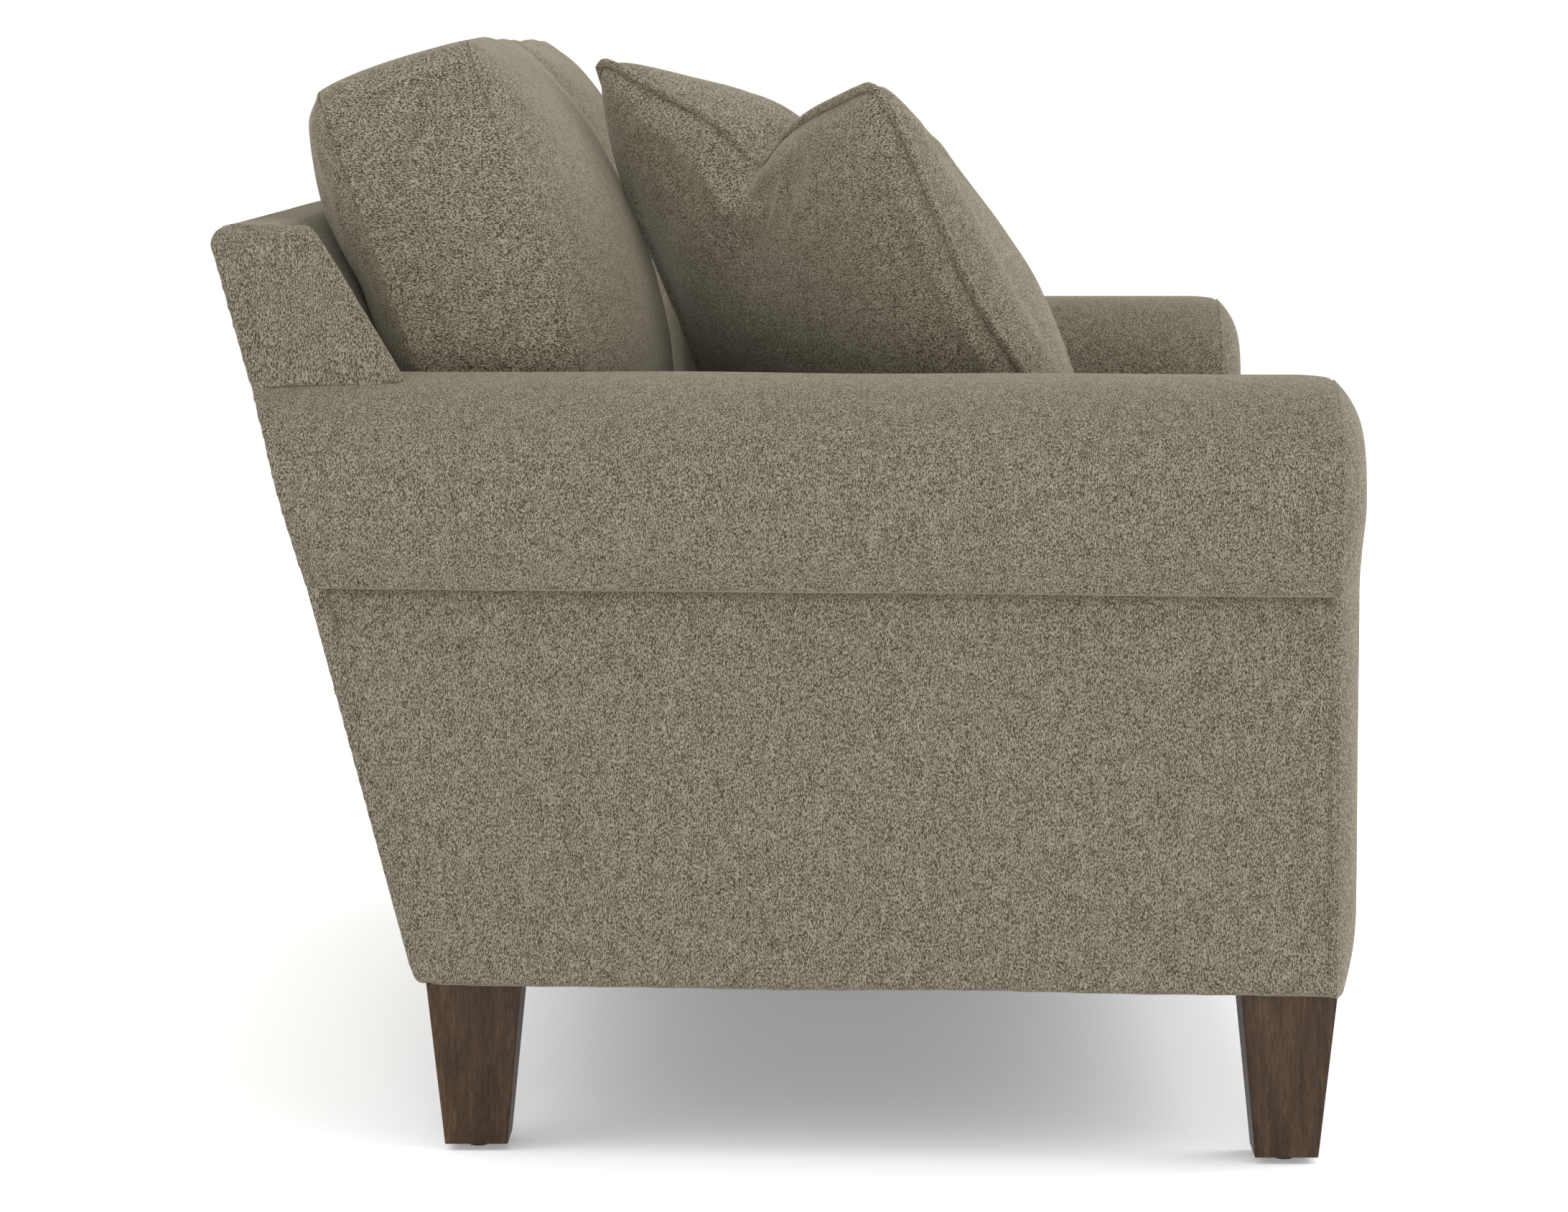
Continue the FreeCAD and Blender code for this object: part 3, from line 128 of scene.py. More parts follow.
def mix(tree, kind, share, a, b):
    node = add(tree, "ShaderNodeMix", data_type="RGBA", blend_type=kind)
    node.inputs["Factor"].default_value = share
    for socket, value in ((node.inputs[6], a), (node.inputs[7], b)):
        if isinstance(value, bpy.types.NodeSocket):
            tree.links.new(value, socket)
        else:
            socket.default_value = value
    return node.outputs[2]


def math_node(tree, operation, a, b):
    node = add(tree, "ShaderNodeMath", operation=operation)
    for socket, value in zip(node.inputs, (a, b)):
        if isinstance(value, bpy.types.NodeSocket):
            tree.links.new(value, socket)
        else:
            socket.default_value = value
    return node.outputs[0]


def bump(tree, shader, height, strength, distance):
    node = add(tree, "ShaderNodeBump")
    node.inputs["Strength"].default_value = strength
    node.inputs["Distance"].default_value = distance
    tree.links.new(height, node.inputs["Height"])
    tree.links.new(node.outputs["Normal"], shader.inputs["Normal"])


# The yarn's height from pit to crest, with its colour there: the yarn's own grey-beige and brown, darkened
# further into the pits as painted shade. Contrast works about the middle height and deepens that painted shade.
YARN_MIDDLE = 0.505
YARN_AND_PIT_SHADE_COLOURS = ((0.39, (0.078, 0.055, 0.032)), (0.447, (0.148, 0.120, 0.080)), (0.51, (0.266, 0.235, 0.171)),
                (0.605, (0.465, 0.430, 0.331)))


def fabric(name, turn=(0, 0, 0), stretch=(1.0, 1.0, 0.45), tone=1.0, contrast=1.0):
    """Heathered chenille tweed: grey-beige yarns and brown between them, with the colour darkened into the pits
    as painted shade.
    """
    material, tree, shader = new_material(name)
    yarn = noise(tree, object_coordinates(tree, stretch, turn), 1100, 1.0, 0.5, 0.5)
    curl = noise(tree, object_coordinates(tree, (1, 1, 0.7), turn), 1900, 1.0, 0.5, 1.2)
    height = math_node(tree, "ADD", math_node(tree, "MULTIPLY", yarn, 0.70),
                       math_node(tree, "MULTIPLY", curl, 0.30))
    blocks = noise(tree, object_coordinates(tree, (1, 1, 0.55), turn), 120, 1.0, 0.5)
    patches = math_node(tree, "MULTIPLY", math_node(tree, "SUBTRACT", blocks, 0.5), 0.08)
    value = math_node(tree, "ADD", height, patches)
    stops = [(YARN_MIDDLE + (place - YARN_MIDDLE) / contrast, tuple(tone * part for part in colour))
             for place, colour in YARN_AND_PIT_SHADE_COLOURS]
    # The ramp follows the bump's height, so the pits carry painted shade as well as the yarn's own colour.
    tree.links.new(ramp(tree, value, stops), shader.inputs["Base Color"])
    shader.inputs["Roughness"].default_value = 0.93
    shader.inputs["Specular IOR Level"].default_value = 0.25
    shader.inputs["Sheen Weight"].default_value = 0.44
    shader.inputs["Sheen Tint"].default_value = (1.0, 0.92, 0.74, 1.0)
    shader.inputs["Sheen Roughness"].default_value = 0.44
    bump(tree, shader, height, 0.6, 0.0009)
    return material


def walnut(name):
    """Dark stained wood with upright grain, slightly worn paler at random."""
    material, tree, shader = new_material(name)
    grain = noise(tree, object_coordinates(tree, (1, 1, 0.05)), 260, 3.0, 0.6, 0.8)
    figure = noise(tree, object_coordinates(tree, (1, 1, 0.12)), 40, 2.0, 0.55, 0.6)
    pores = noise(tree, object_coordinates(tree, (1, 1, 0.06)), 900, 1.0)
    value = math_node(tree, "ADD", math_node(tree, "MULTIPLY", grain, 0.5),
                      math_node(tree, "MULTIPLY", figure, 0.5))
    wood = ramp(tree, value, [(0.36, (0.024, 0.013, 0.006)), (0.48, (0.049, 0.026, 0.012)),
                              (0.56, (0.070, 0.038, 0.018)), (0.68, (0.122, 0.068, 0.034))])
    dark = ramp(tree, pores, [(0.36, (0.45, 0.42, 0.40)), (0.48, (1, 1, 1))])
    tree.links.new(mix(tree, "MULTIPLY", 0.8, wood, dark), shader.inputs["Base Color"])
    shader.inputs["Roughness"].default_value = 0.5
    shader.inputs["Specular IOR Level"].default_value = 0.25
    bump(tree, shader, math_node(tree, "ADD", grain, math_node(tree, "MULTIPLY", pores, 0.5)), 0.25, 0.0004)
    return material


def plain_wood(name):
    material, tree, shader = new_material(name)
    grain = noise(tree, object_coordinates(tree, (0.12, 1, 1)), 180, 3.0, 0.6, 0.5)
    wood = ramp(tree, grain, [(0.35, (0.42, 0.28, 0.15)), (0.5, (0.56, 0.40, 0.24)),
                              (0.65, (0.68, 0.52, 0.34))])
    tree.links.new(wood, shader.inputs["Base Color"])
    shader.inputs["Roughness"].default_value = 0.7
    bump(tree, shader, grain, 0.2, 0.0004)
    return material


def simple(name, colour, rough, scale, depth, metal=0.0, stretch=(1, 1, 1)):
    """Even material with fine variation of its colour and surface."""
    material, tree, shader = new_material(name)
    value = noise(tree, object_coordinates(tree, stretch), scale, 2.0, 0.6)
    low = tuple(part * 0.8 for part in colour)
    high = tuple(min(1.0, part * 1.2) for part in colour)
    tree.links.new(ramp(tree, value, [(0.35, low), (0.65, high)]), shader.inputs["Base Color"])
    shader.inputs["Roughness"].default_value = rough
    shader.inputs["Metallic"].default_value = metal
    bump(tree, shader, value, 0.3, depth)
    return material


# Two copies of the one fabric with painted light: darker for upright pieces, and lighter for leaning pieces,
# whose stronger contrast is painted shade standing in for the yarn's shading under grazing light.
UPRIGHT_PAINTED_DARKER = fabric("tweed_upright_painted_darker", tone=0.845, contrast=1.15)
LEANING_PAINTED_LIGHTER = fabric("tweed_leaning_painted_lighter", turn=(math.radians(20), 0, 0), stretch=(1.0, 0.5, 1.0), tone=0.94,
                 contrast=1.6)
MATERIALS = {
    "upholstery": UPRIGHT_PAINTED_DARKER,
    "leg_wood": walnut("walnut"),
    "frame_wood": plain_wood("frame_timber"),
    "glide": simple("glide_plastic", (0.018, 0.018, 0.018), 0.55, 900, 0.0002),
    "steel": simple("zinc_steel", (0.48, 0.48, 0.47), 0.35, 300, 0.0002, metal=1.0, stretch=(1, 0.2, 1)),
    "webbing": simple("elastic_webbing", (0.09, 0.09, 0.09), 0.85, 1200, 0.0006, stretch=(1, 1, 0.3)),
    "padding": simple("fibre_padding", (0.72, 0.70, 0.65), 0.95, 250, 0.003),
    "dust_cloth": simple("dust_cloth_black", (0.02, 0.02, 0.02), 0.95, 1500, 0.0004),
}
for row in frame["record"]["subparts"]:
    item = frame["nodes"][row["node"]]
    item.data.materials.clear()
    item.data.materials.append(MATERIALS[row["material_slot"]])


# Mesh helpers.

def mesh_arrays(mesh):
    points = np.empty(len(mesh.vertices) * 3)
    mesh.vertices.foreach_get("co", points)
    edges = np.empty(len(mesh.edges) * 2, dtype=np.int64)
    mesh.edges.foreach_get("vertices", edges)
    return points.reshape(-1, 3), edges.reshape(-1, 2)


def set_points(mesh, points):
    mesh.vertices.foreach_set("co", np.ascontiguousarray(points, dtype=np.float64).ravel())
    mesh.update()


def normals_of(mesh):
    values = np.empty(len(mesh.vertices) * 3)
    mesh.vertices.foreach_get("normal", values)
    return values.reshape(-1, 3)


def relax(points, edges, rounds, keep_size=True, weight=1.0):
    """Smooths points along edges: with keep_size Taubin's way, which rounds edges but doesn't shrink."""
    count = np.zeros(len(points))
    np.add.at(count, edges.ravel(), 1)
    count = np.maximum(count, 1)[:, None]
    for _ in range(rounds):
        for share in ((0.55, -0.57) if keep_size else (0.5,)):
            total = np.zeros_like(points)
            for axis in range(3):
                total[:, axis] = (np.bincount(edges[:, 0], points[edges[:, 1], axis], len(points))
                                  + np.bincount(edges[:, 1], points[edges[:, 0], axis], len(points)))
            points = points + share * weight * (total / count - points)
    return points


def new_piece(name, mesh, material, body, nodes):
    piece = bpy.data.objects.new(name, mesh)
    bpy.context.scene.collection.objects.link(piece)
    mesh.materials.clear()
    mesh.materials.append(material)
    mesh.polygons.foreach_set("use_smooth", [True] * len(mesh.polygons))
    mesh.update()
    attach(piece, body)
    if nodes:
        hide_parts(*nodes)
    return piece


def tidy(mesh):
    """Joins points that fall together and turns every face outwards."""
    work = bmesh.new()
    work.from_mesh(mesh)
    bmesh.ops.remove_doubles(work, verts=work.verts, dist=0.00005)
    bmesh.ops.recalc_face_normals(work, faces=work.faces)
    work.to_mesh(mesh)
    work.free()
    mesh.update()


def remeshed(node, voxel):
    """Copy of a CAD node's mesh made of even small quads."""
    copy = bpy.data.objects.new("copy", frame["nodes"][node].data.copy())
    bpy.context.scene.collection.objects.link(copy)
    step = copy.modifiers.new("even", "REMESH")
    step.mode = "VOXEL"
    step.voxel_size = voxel
    graph = bpy.context.evaluated_depsgraph_get()
    mesh = bpy.data.meshes.new_from_object(copy.evaluated_get(graph))
    bpy.data.objects.remove(copy)
    return mesh


def wander(points, size, depth, seed):
    """Gentle unevenness of a padded surface: one value for each point."""
    rng = np.random.RandomState(seed)
    total = np.zeros(len(points))
    for _ in range(7):
        way = rng.normal(size=3)
        way *= rng.uniform(0.6, 1.5) * 2 * math.pi / size / np.linalg.norm(way)
        total += np.sin(points @ way + rng.uniform(0, 2 * math.pi))
    return total * depth / 2.6


def low_edge(points):
    """1 at the upholstery's lower edge, 0 from 16 mm above it."""
    return np.clip((FOOT_Z + 0.016 - points[:, 2]) / 0.008, 0, 1)


def smooth_step(share):
    share = np.clip(share, 0, 1)
    return share * share * (3 - 2 * share)


def round_corner(flat, corner, one, two, radius):
    """Rounds a corner in a plane, for points flat. one and two are the inward normals of its faces."""
    one, two = np.array(one, dtype=float), np.array(two, dtype=float)
    radius = np.broadcast_to(radius, len(flat))
    centre = np.array(corner) + (one + two) * radius[:, None] / (1 + one @ two)
    arm = flat - centre
    size = np.linalg.norm(arm, axis=1)
    outside = (arm @ one < 0) & (arm @ two < 0) & (size > radius)
    scale = np.where(outside, radius / np.maximum(size, 1e-9), 1.0)
    return centre + arm * scale[:, None]


def round_back_top(points):
    """Rounds the upper rear edge of the back all the way across."""
    points = points.copy()
    points[:, 1:] = round_corner(points[:, 1:], (BACK_REAR, BACK_TOP), (0, -1),
                                 (-math.cos(RAKE), math.sin(RAKE)), BACK_ROUND)
    return points


def round_wing(points, sign):
    """Rounds the outer rim of a back end, and more so towards its rear corner."""
    radius = (11.5 + 12 * smooth_step((points[:, 1] - 0.425) / 0.04)) * MM
    flat = points[:, 1:]
    best = np.full(len(flat), 1.0)
    inward = np.zeros_like(flat)
    for a, b in zip(np.array(WING_EDGE[:-1]) * MM, np.array(WING_EDGE[1:]) * MM):
        run = b - a
        length = np.linalg.norm(run)
        share = np.clip(((flat - a) @ run) / length ** 2, 0, 1)
        gap = np.linalg.norm(flat - a - share[:, None] * run, axis=1)
        closer = gap < best
        best[closer] = gap[closer]
        inward[closer] = np.array([run[1], -run[0]]) / length
    depth = BACK_SIDE - sign * points[:, 0]
    plane = np.column_stack([depth, best])
    moved = round_corner(plane, (0, 0), (1, 0), (0, 1), radius)
    points = points.copy()
    points[:, 0] = sign * (BACK_SIDE - moved[:, 0])
    points[:, 1:] += inward * (moved[:, 1] - best)[:, None]
    return points


def over_seam(points, normals, way, reach=2.6 * MM):
    """Closes the seam at the outside back: way 1 lengthens a side piece, way -1 thickens the back's rim."""
    points = points.copy()
    rim = 1.0 if way > 0 else np.clip((np.abs(points[:, 0]) - 0.5) / 0.03, 0, 1)
    points[:, 1] += way * reach * np.clip(way * normals[:, 1] * 1.6, 0, 1) * rim
    return points


def fuller_back(points, normals):
    """The back's rear face stands out a little more above the arms, and its top is a little lower."""
    points = points.copy()
    points[:, 1] += BACK_FULL * smooth_step((points[:, 2] - 0.60) / 0.06) * np.clip(normals[:, 1] * 1.6, 0, 1)
    points[:, 2] -= BACK_LOWER * smooth_step((points[:, 2] - 0.745) / 0.03)
    return points


def from_roll(points, sign):
    """How far outwards each point lies from the upright plane through the roll's middle line."""
    return sign * points[:, 0] - (ROLL_X - TOE * (points[:, 1] - FRONT_Y))


def hang_lip(points, sign):
    """The roll's lower edge hangs a little clear of the panel under it."""
    out = from_roll(points, sign)
    share = smooth_step((SEAM_Z + LIP_REACH - points[:, 2]) / LIP_REACH)
    share *= np.clip((out - 0.035) / 0.02, 0, 1)
    points = points.copy()
    points[:, 0] += sign * LIP * share
    low = (points[:, 2] < SEAM_Z + 0.007) & (out > 0.045)
    points[low, 2] = SEAM_Z + (points[low, 2] - SEAM_Z) * 0.4
    return points


def draw_in(points, sign):
    """The side panel is drawn in a little under the roll."""
    out = from_roll(points, sign)
    share = smooth_step((points[:, 2] - SEAM_Z + 0.11) / 0.11) * np.clip((out - 0.052) / 0.006, 0, 1)
    share *= smooth_step((points[:, 1] - FRONT_Y) / 0.012)
    points = points.copy()
    crease = smooth_step((points[:, 2] - SEAM_Z + 0.007) / 0.006) * (out > 0.045)
    points[:, 0] -= sign * (7 * share + 4 * crease) * MM
    points[:, 2] += 2.5 * MM * np.clip((points[:, 2] - SEAM_Z + 0.005) / 0.004, 0, 1) * (out > 0.052)
    return points


def front_groove(points, sign, groove, shoulder):
    """Sinks the seam round the front panel by groove, and rounds the cover's last 32 mm off by shoulder."""
    ahead = points[:, 1] - FRONT_Y
    sunk = (groove * np.clip(1 - ahead / 0.007, 0, 1) ** 1.5
            + shoulder * np.clip(1 - ahead / 0.032, 0, 1) ** 2)
    side = np.column_stack([from_roll(points, sign), points[:, 2] - ROLL_Z])
    side[side[:, 1] < 0, 1] = 0
    side /= np.maximum(np.linalg.norm(side, axis=1), 0.02)[:, None]
    points = points.copy()
    points[:, 0] -= sign * sunk * side[:, 0]
    points[:, 2] -= sunk * side[:, 1]
    return points


SOFT_ROUNDS = 8


def panel(node, voxel, rounds, depth, seed, soft=None, shapes=(), seam=0):
    """Padded panel: the CAD solid with softened edges and a slightly uneven face, full up to its seams."""
    mesh = remeshed(node, voxel)
    points, edges = mesh_arrays(mesh)
    if soft is not None:
        points = relax(points, edges, SOFT_ROUNDS, False, soft(points)[:, None])
    points = relax(points, edges, rounds)
    set_points(mesh, points)
    normals = normals_of(mesh)
    swell = SEAM_FILL + wander(points, 0.28, depth, seed)
    points = points + normals * swell[:, None]
    if seam:
        points = over_seam(points, normals, seam)
    if "back" in node:
        points = fuller_back(points, normals)
    for shape in shapes:
        points = shape(points)
    set_points(mesh, points)
    piece = new_piece(node + "_cover", mesh, UPRIGHT_PAINTED_DARKER, "frame", [node])


def front_edge(height, out):
    """How far the front panel reaches from the roll's middle line at a height, outwards or inwards."""
    foot = STEM_OUT if out else STEM_IN
    if height >= ROLL_Z:
        reach = math.sqrt(max(HEAD_R ** 2 - (height - ROLL_Z) ** 2, 0))
    elif height < SEAM_Z:
        return foot
    else:
        across, down = HEAD_R - foot, ROLL_Z - SEAM_Z
        turn = (across ** 2 + down ** 2) / (2 * across)
        reach = HEAD_R - turn + math.sqrt(turn ** 2 - (ROLL_Z - height) ** 2)
    if out:
        reach += LIP * float(smooth_step((SEAM_Z + LIP_REACH - height) / LIP_REACH))
    return reach


def arm_front(side, sign):
    """Padded front of an arm: a domed round head on a narrower stem, sewn on round its edge."""
    angles = np.linspace(0, math.pi / 2, 26)
    heights = np.concatenate([np.linspace(FOOT_Z, SEAM_Z, 74)[:-1], np.linspace(SEAM_Z, ROLL_Z, 26)[:-1],
                              ROLL_Z + HEAD_R * np.sin(angles)])
    border = [(front_edge(z, True), z) for z in heights]
    border += [(-front_edge(z, False), z) for z in heights[::-1]]
    border.append(border[0])
    border = np.array(border)
    shares = np.sin(np.linspace(-math.pi / 2, math.pi / 2, 45))
    rows = []
    for z in heights:
        low, high = -front_edge(z, False), front_edge(z, True)
        rows.append([((low + high) / 2 + (high - low) / 2 * share, z) for share in shares])
    flat = np.array(rows).reshape(-1, 2)
    start, run = border[:-2], np.diff(border, axis=0)[:-1]
    length = np.maximum((run ** 2).sum(axis=1), 1e-12)
    gap = np.full(len(flat), 1.0)
    for a, d, l in zip(start, run, length):
        share = np.clip(((flat - a) @ d) / l, 0, 1)
        gap = np.minimum(gap, np.linalg.norm(flat - a - share[:, None] * d, axis=1))
    head = smooth_step((flat[:, 1] - 0.505) / 0.05)
    foot = 1 - 0.5 * (1 - np.clip((flat[:, 1] - FOOT_Z) / (70 * MM), 0, 1)) ** 2.2
    fullness = (21.0 + 3.4 * head) * foot * MM
    swell = fullness * (1 - (1 - np.clip(gap / (62 * MM), 0, 1)) ** 2.6)
    swell += wander(np.column_stack([flat, flat[:, 0]]), 0.25, 0.0004, 41 + sign) * np.clip(gap / 0.02, 0, 1)
    count = len(shares)
    points = np.column_stack([sign * (ROLL_X + flat[:, 0]), FRONT_Y - 0.0006 - swell, flat[:, 1]])
    middle = np.array([sign * ROLL_X, 0, 0.40])
    back = np.column_stack([points[:, 0], np.full(len(points), FRONT_Y + 0.006), points[:, 2]])
    inward = (middle - back) * [1, 0, 1]
    back += inward * (0.0012 / np.maximum(np.linalg.norm(inward, axis=1), 0.01))[:, None]
    faces = []
    for row in range(len(heights) - 1):
        for column in range(count - 1):
            a = row * count + column
            quad = (a, a + 1, a + count + 1, a + count)
            faces.append(quad if sign > 0 else quad[::-1])
            rear = tuple(i + len(points) for i in quad)
            faces.append(rear[::-1] if sign > 0 else rear)
    top = (len(heights) - 1) * count
    edge = ([row * count for row in range(len(heights))] + [top + column for column in range(1, count)]
            + [row * count + count - 1 for row in range(len(heights) - 2, -1, -1)]
            + list(range(count - 2, 0, -1)))
    for a, b in zip(edge, edge[1:] + edge[:1]):
        quad = (a, b, b + len(points), a + len(points))
        faces.append(quad if sign > 0 else quad[::-1])
    mesh = bpy.data.meshes.new("arm_front")
    mesh.from_pydata([tuple(point) for point in np.vstack([points, back])], [], faces)
    tidy(mesh)
    node = f"arm_front_panel_{side}"
    piece = new_piece(node + "_cover", mesh, UPRIGHT_PAINTED_DARKER, "frame", [node])


for side, sign in SIDES:
    panel(f"arm_roll_{side}", 0.0035, 3, 0.0006, 11 + sign, seam=1,
          shapes=[lambda points: hang_lip(points, sign),
                  lambda points: front_groove(points, sign, 1.5 * MM, SHOULDER)])
    panel(f"outside_arm_{side}", 0.0035, 3, 0.0006, 21 + sign, low_edge, seam=1,
          shapes=[lambda points: draw_in(points, sign),
                  lambda points: front_groove(points, sign, 1.0 * MM, 0)])
    panel(f"inside_arm_{side}", 0.004, 3, 0.0005, 31 + sign)
    arm_front(side, sign)
    panel(f"back_end_{side}", 0.003, 2, 0.0005, 51 + sign,
          shapes=[lambda points: round_wing(points, sign), round_back_top], seam=1)
panel("outside_back", 0.004, 3, 0.0007, 61, low_edge, shapes=[round_back_top], seam=-1)
panel("inside_back", 0.005, 4, 0.0010, 62,
      shapes=[lambda points: round_wing(points, 1), lambda points: round_wing(points, -1)])
panel("front_border", 0.004, 2, 0.0004, 63, low_edge)


BOLT_HOLE = 10 * MM


def stretched_sheet(name, node, material, corners, level, thickness, sag, holes):
    """Flat cloth pulled tight over a frame. corners are (half width, y) at its front and at its rear."""
    (wide, front), (narrow, rear) = corners
    across, along_side = 90, 64
    points, faces = [], []
    for row in range(along_side + 1):
        share = row / along_side
        half = wide + (narrow - wide) * share
        for column in range(across + 1):
            place = 2 * column / across - 1
            drop = sag * (1 - place ** 2) * (1 - (2 * share - 1) ** 2)
            points.append((half * place, front + (rear - front) * share, level - drop))
    step = across + 1
    for row in range(along_side):
        for column in range(across):
            a = row * step + column
            middle = Vector(points[a]).lerp(Vector(points[a + step + 1]), 0.5)
            if all((middle.x - x) ** 2 + (middle.y - y) ** 2 > BOLT_HOLE ** 2 for x, y in holes):
                faces.append((a, a + 1, a + step + 1, a + step))
    mesh = bpy.data.meshes.new(name)
    mesh.from_pydata(points, [], faces)
    work = bmesh.new()
    work.from_mesh(mesh)
    bmesh.ops.delete(work, geom=[point for point in work.verts if not point.link_faces], context="VERTS")
    work.to_mesh(mesh)
    work.free()
    piece = new_piece(name, mesh, material, "frame", [node])
    thick = piece.modifiers.new("thickness", "SOLIDIFY")
    thick.thickness = thickness
    thick.offset = -1


def toed_in(wide, front, rear):
    """Front and rear corners of a sheet whose sides follow the arms."""
    return (wide, front), (wide - TOE * (rear - front), rear)


BOLTS = [(side * x, y) for side in (-1, 1) for x, y in ((0.6294, -0.4165), (0.5824, 0.2633))]
stretched_sheet("deck_cloth_sheet", "deck_cloth", UPRIGHT_PAINTED_DARKER, toed_in(0.5395, -0.4530, 0.2885),
                level=0.3499, thickness=0.0016, sag=0.0, holes=[])
stretched_sheet("dust_cover_sheet", "dust_cover", MATERIALS["dust_cloth"],
                toed_in(0.6675, -0.4530, 0.2980), level=0.1474, thickness=0.0010, sag=0.0025, holes=BOLTS)


# Loose cushions, built from rings round their outline.

def outline(corners, inset, bow, rounding, count, flat_foot=False):
    """Points of a four-sided outline with rounded corners and bowed sides, evenly shared."""
    corners = [np.array(corner, dtype=float) for corner in corners]
    centre = sum(corners) / 4
    moved = [corner - inset * np.sign(corner - centre) for corner in corners]
    rows = []
    for index in range(4):
        here, following, last = moved[index], moved[(index + 1) % 4], moved[index - 1]
        to_next = (following - here) / np.linalg.norm(following - here)
        to_last = (last - here) / np.linalg.norm(last - here)
        start, end = here + to_last * rounding, here + to_next * rounding
        for step in range(count // 20):
            share = step / (count // 20)
            rows.append((1 - share) ** 2 * start + 2 * share * (1 - share) * here + share ** 2 * end)
        far = following - to_next * rounding
        outward = np.array([to_next[1], -to_next[0]])
        side_count = count // 4 - count // 20
        for step in range(side_count):
            share = step / side_count
            lift = 0 if (flat_foot and index == 0) else bow * 4 * share * (1 - share)
            rows.append(end + (far - end) * share + outward * lift)
    return np.array(rows)


def spline(stops, place):
    """Smooth monotone run through rows of stops, whose first number is the place."""
    stops = np.array(stops, dtype=float)
    keys = stops[:, 0]
    result = []
    for column in range(1, stops.shape[1]):
        values = stops[:, column]
        slopes = np.gradient(values, keys)
        steps = np.diff(values) / np.diff(keys)
        for index in range(len(steps)):
            if steps[index] == 0:
                slopes[index] = slopes[index + 1] = 0
            else:
                for end in (index, index + 1):
                    ratio = slopes[end] / steps[index]
                    slopes[end] = steps[index] * min(max(ratio, 0), 3)
        index = min(max(int(np.searchsorted(keys, place)) - 1, 0), len(keys) - 2)
        width = keys[index + 1] - keys[index]
        share = (place - keys[index]) / width
        result.append((2 * share ** 3 - 3 * share ** 2 + 1) * values[index]
                      + (share ** 3 - 2 * share ** 2 + share) * width * slopes[index]
                      + (3 * share ** 2 - 2 * share ** 3) * values[index + 1]
                      + (share ** 3 - share ** 2) * width * slopes[index + 1])
    return result


def ring_mesh(name, rings):
    """Closed mesh through rings of equal count, each end closed by a fan."""
    count = len(rings[0])
    points = [point for ring in rings for point in ring]
    faces = []
    for row in range(len(rings) - 1):
        for column in range(count):
            following = (column + 1) % count
            a, b = row * count + column, row * count + following
            faces.append((a, b, b + count, a + count))
    for row, way in ((0, -1), (len(rings) - 1, 1)):
        centre = len(points)
        points.append(rings[row].mean(axis=0))
        for column in range(count):
            a, b = row * count + column, row * count + (column + 1) % count
            faces.append((a, b, centre) if way > 0 else (b, a, centre))
    mesh = bpy.data.meshes.new(name)
    mesh.from_pydata([tuple(point) for point in points], [], faces)
    mesh.validate()
    mesh.update()
    return mesh


def cushion_rings(corners_at, stops, levels, count, flat_foot, dome):
    """Rings of a boxed cushion. stops are (key, level, inset, bow, rounding), dome the swell of its ends."""
    rings = []
    for key in levels:
        level, inset, bow, rounding = spline(stops, key)
        flat = outline(corners_at(level), inset, bow, rounding, count, flat_foot)
        rings.append(np.column_stack([flat, np.full(len(flat), level)]))
    for end, way in ((0, -1), (-1, 1)):
        base = rings[end]
        centre = base.mean(axis=0)
        extra = []
        for share in END_SHARES:
            ring = centre + (base - centre) * share
            ring[:, 2] = base[0, 2] + way * dome[0 if way < 0 else 1] * (1 - share ** 2)
            extra.append(ring)
        rings = extra[::-1] + rings if way < 0 else rings + extra
    return rings


def placed(points, matrix):
    return points @ np.array(matrix.to_3x3()).T + np.array(matrix.translation)


PRESSURE, FILL_FRAMES = 3.0, 20


def inflate(mesh, held, cap):
    """Fills a closed mesh by cloth simulation. Held points stay, and no point moves further than cap."""
    before, _ = mesh_arrays(mesh)
    scene = bpy.context.scene
    body = bpy.data.objects.new("inflating", mesh)
    scene.collection.objects.link(body)
    group = body.vertex_groups.new(name="held")
    group.add([int(index) for index in held], 1.0, "REPLACE")
    cloth = body.modifiers.new("fill", "CLOTH")
    cloth.settings.quality = 5
    cloth.settings.mass = 0.3
    cloth.settings.bending_stiffness = 2.0
    cloth.settings.use_pressure = True
    cloth.settings.uniform_pressure_force = PRESSURE
    cloth.settings.vertex_group_mass = "held"
    cloth.settings.effector_weights.gravity = 0
    cloth.point_cache.frame_start = 1
    cloth.point_cache.frame_end = FILL_FRAMES
    for number in range(1, FILL_FRAMES + 1):
        scene.frame_set(number)
    graph = bpy.context.evaluated_depsgraph_get()
    result = bpy.data.meshes.new_from_object(body.evaluated_get(graph))
    after, _ = mesh_arrays(result)
    scene.frame_set(1)
    bpy.data.objects.remove(body)
    bpy.data.meshes.remove(result)
    move = after - before
    size = np.linalg.norm(move, axis=1)
    move *= (np.minimum(size, cap) / np.maximum(size, 1e-9))[:, None]
    set_points(mesh, before + move)


def held_in(points, sign, low, high=1.0, middle=-1.0):
    """Flattens a piece against what it stands on, against a level above it and against the sofa's middle."""
    points = points.copy()
    points[:, 2] = np.clip(points[:, 2], low, high)
    points[:, 0] = sign * np.maximum(sign * points[:, 0], middle)
    return points


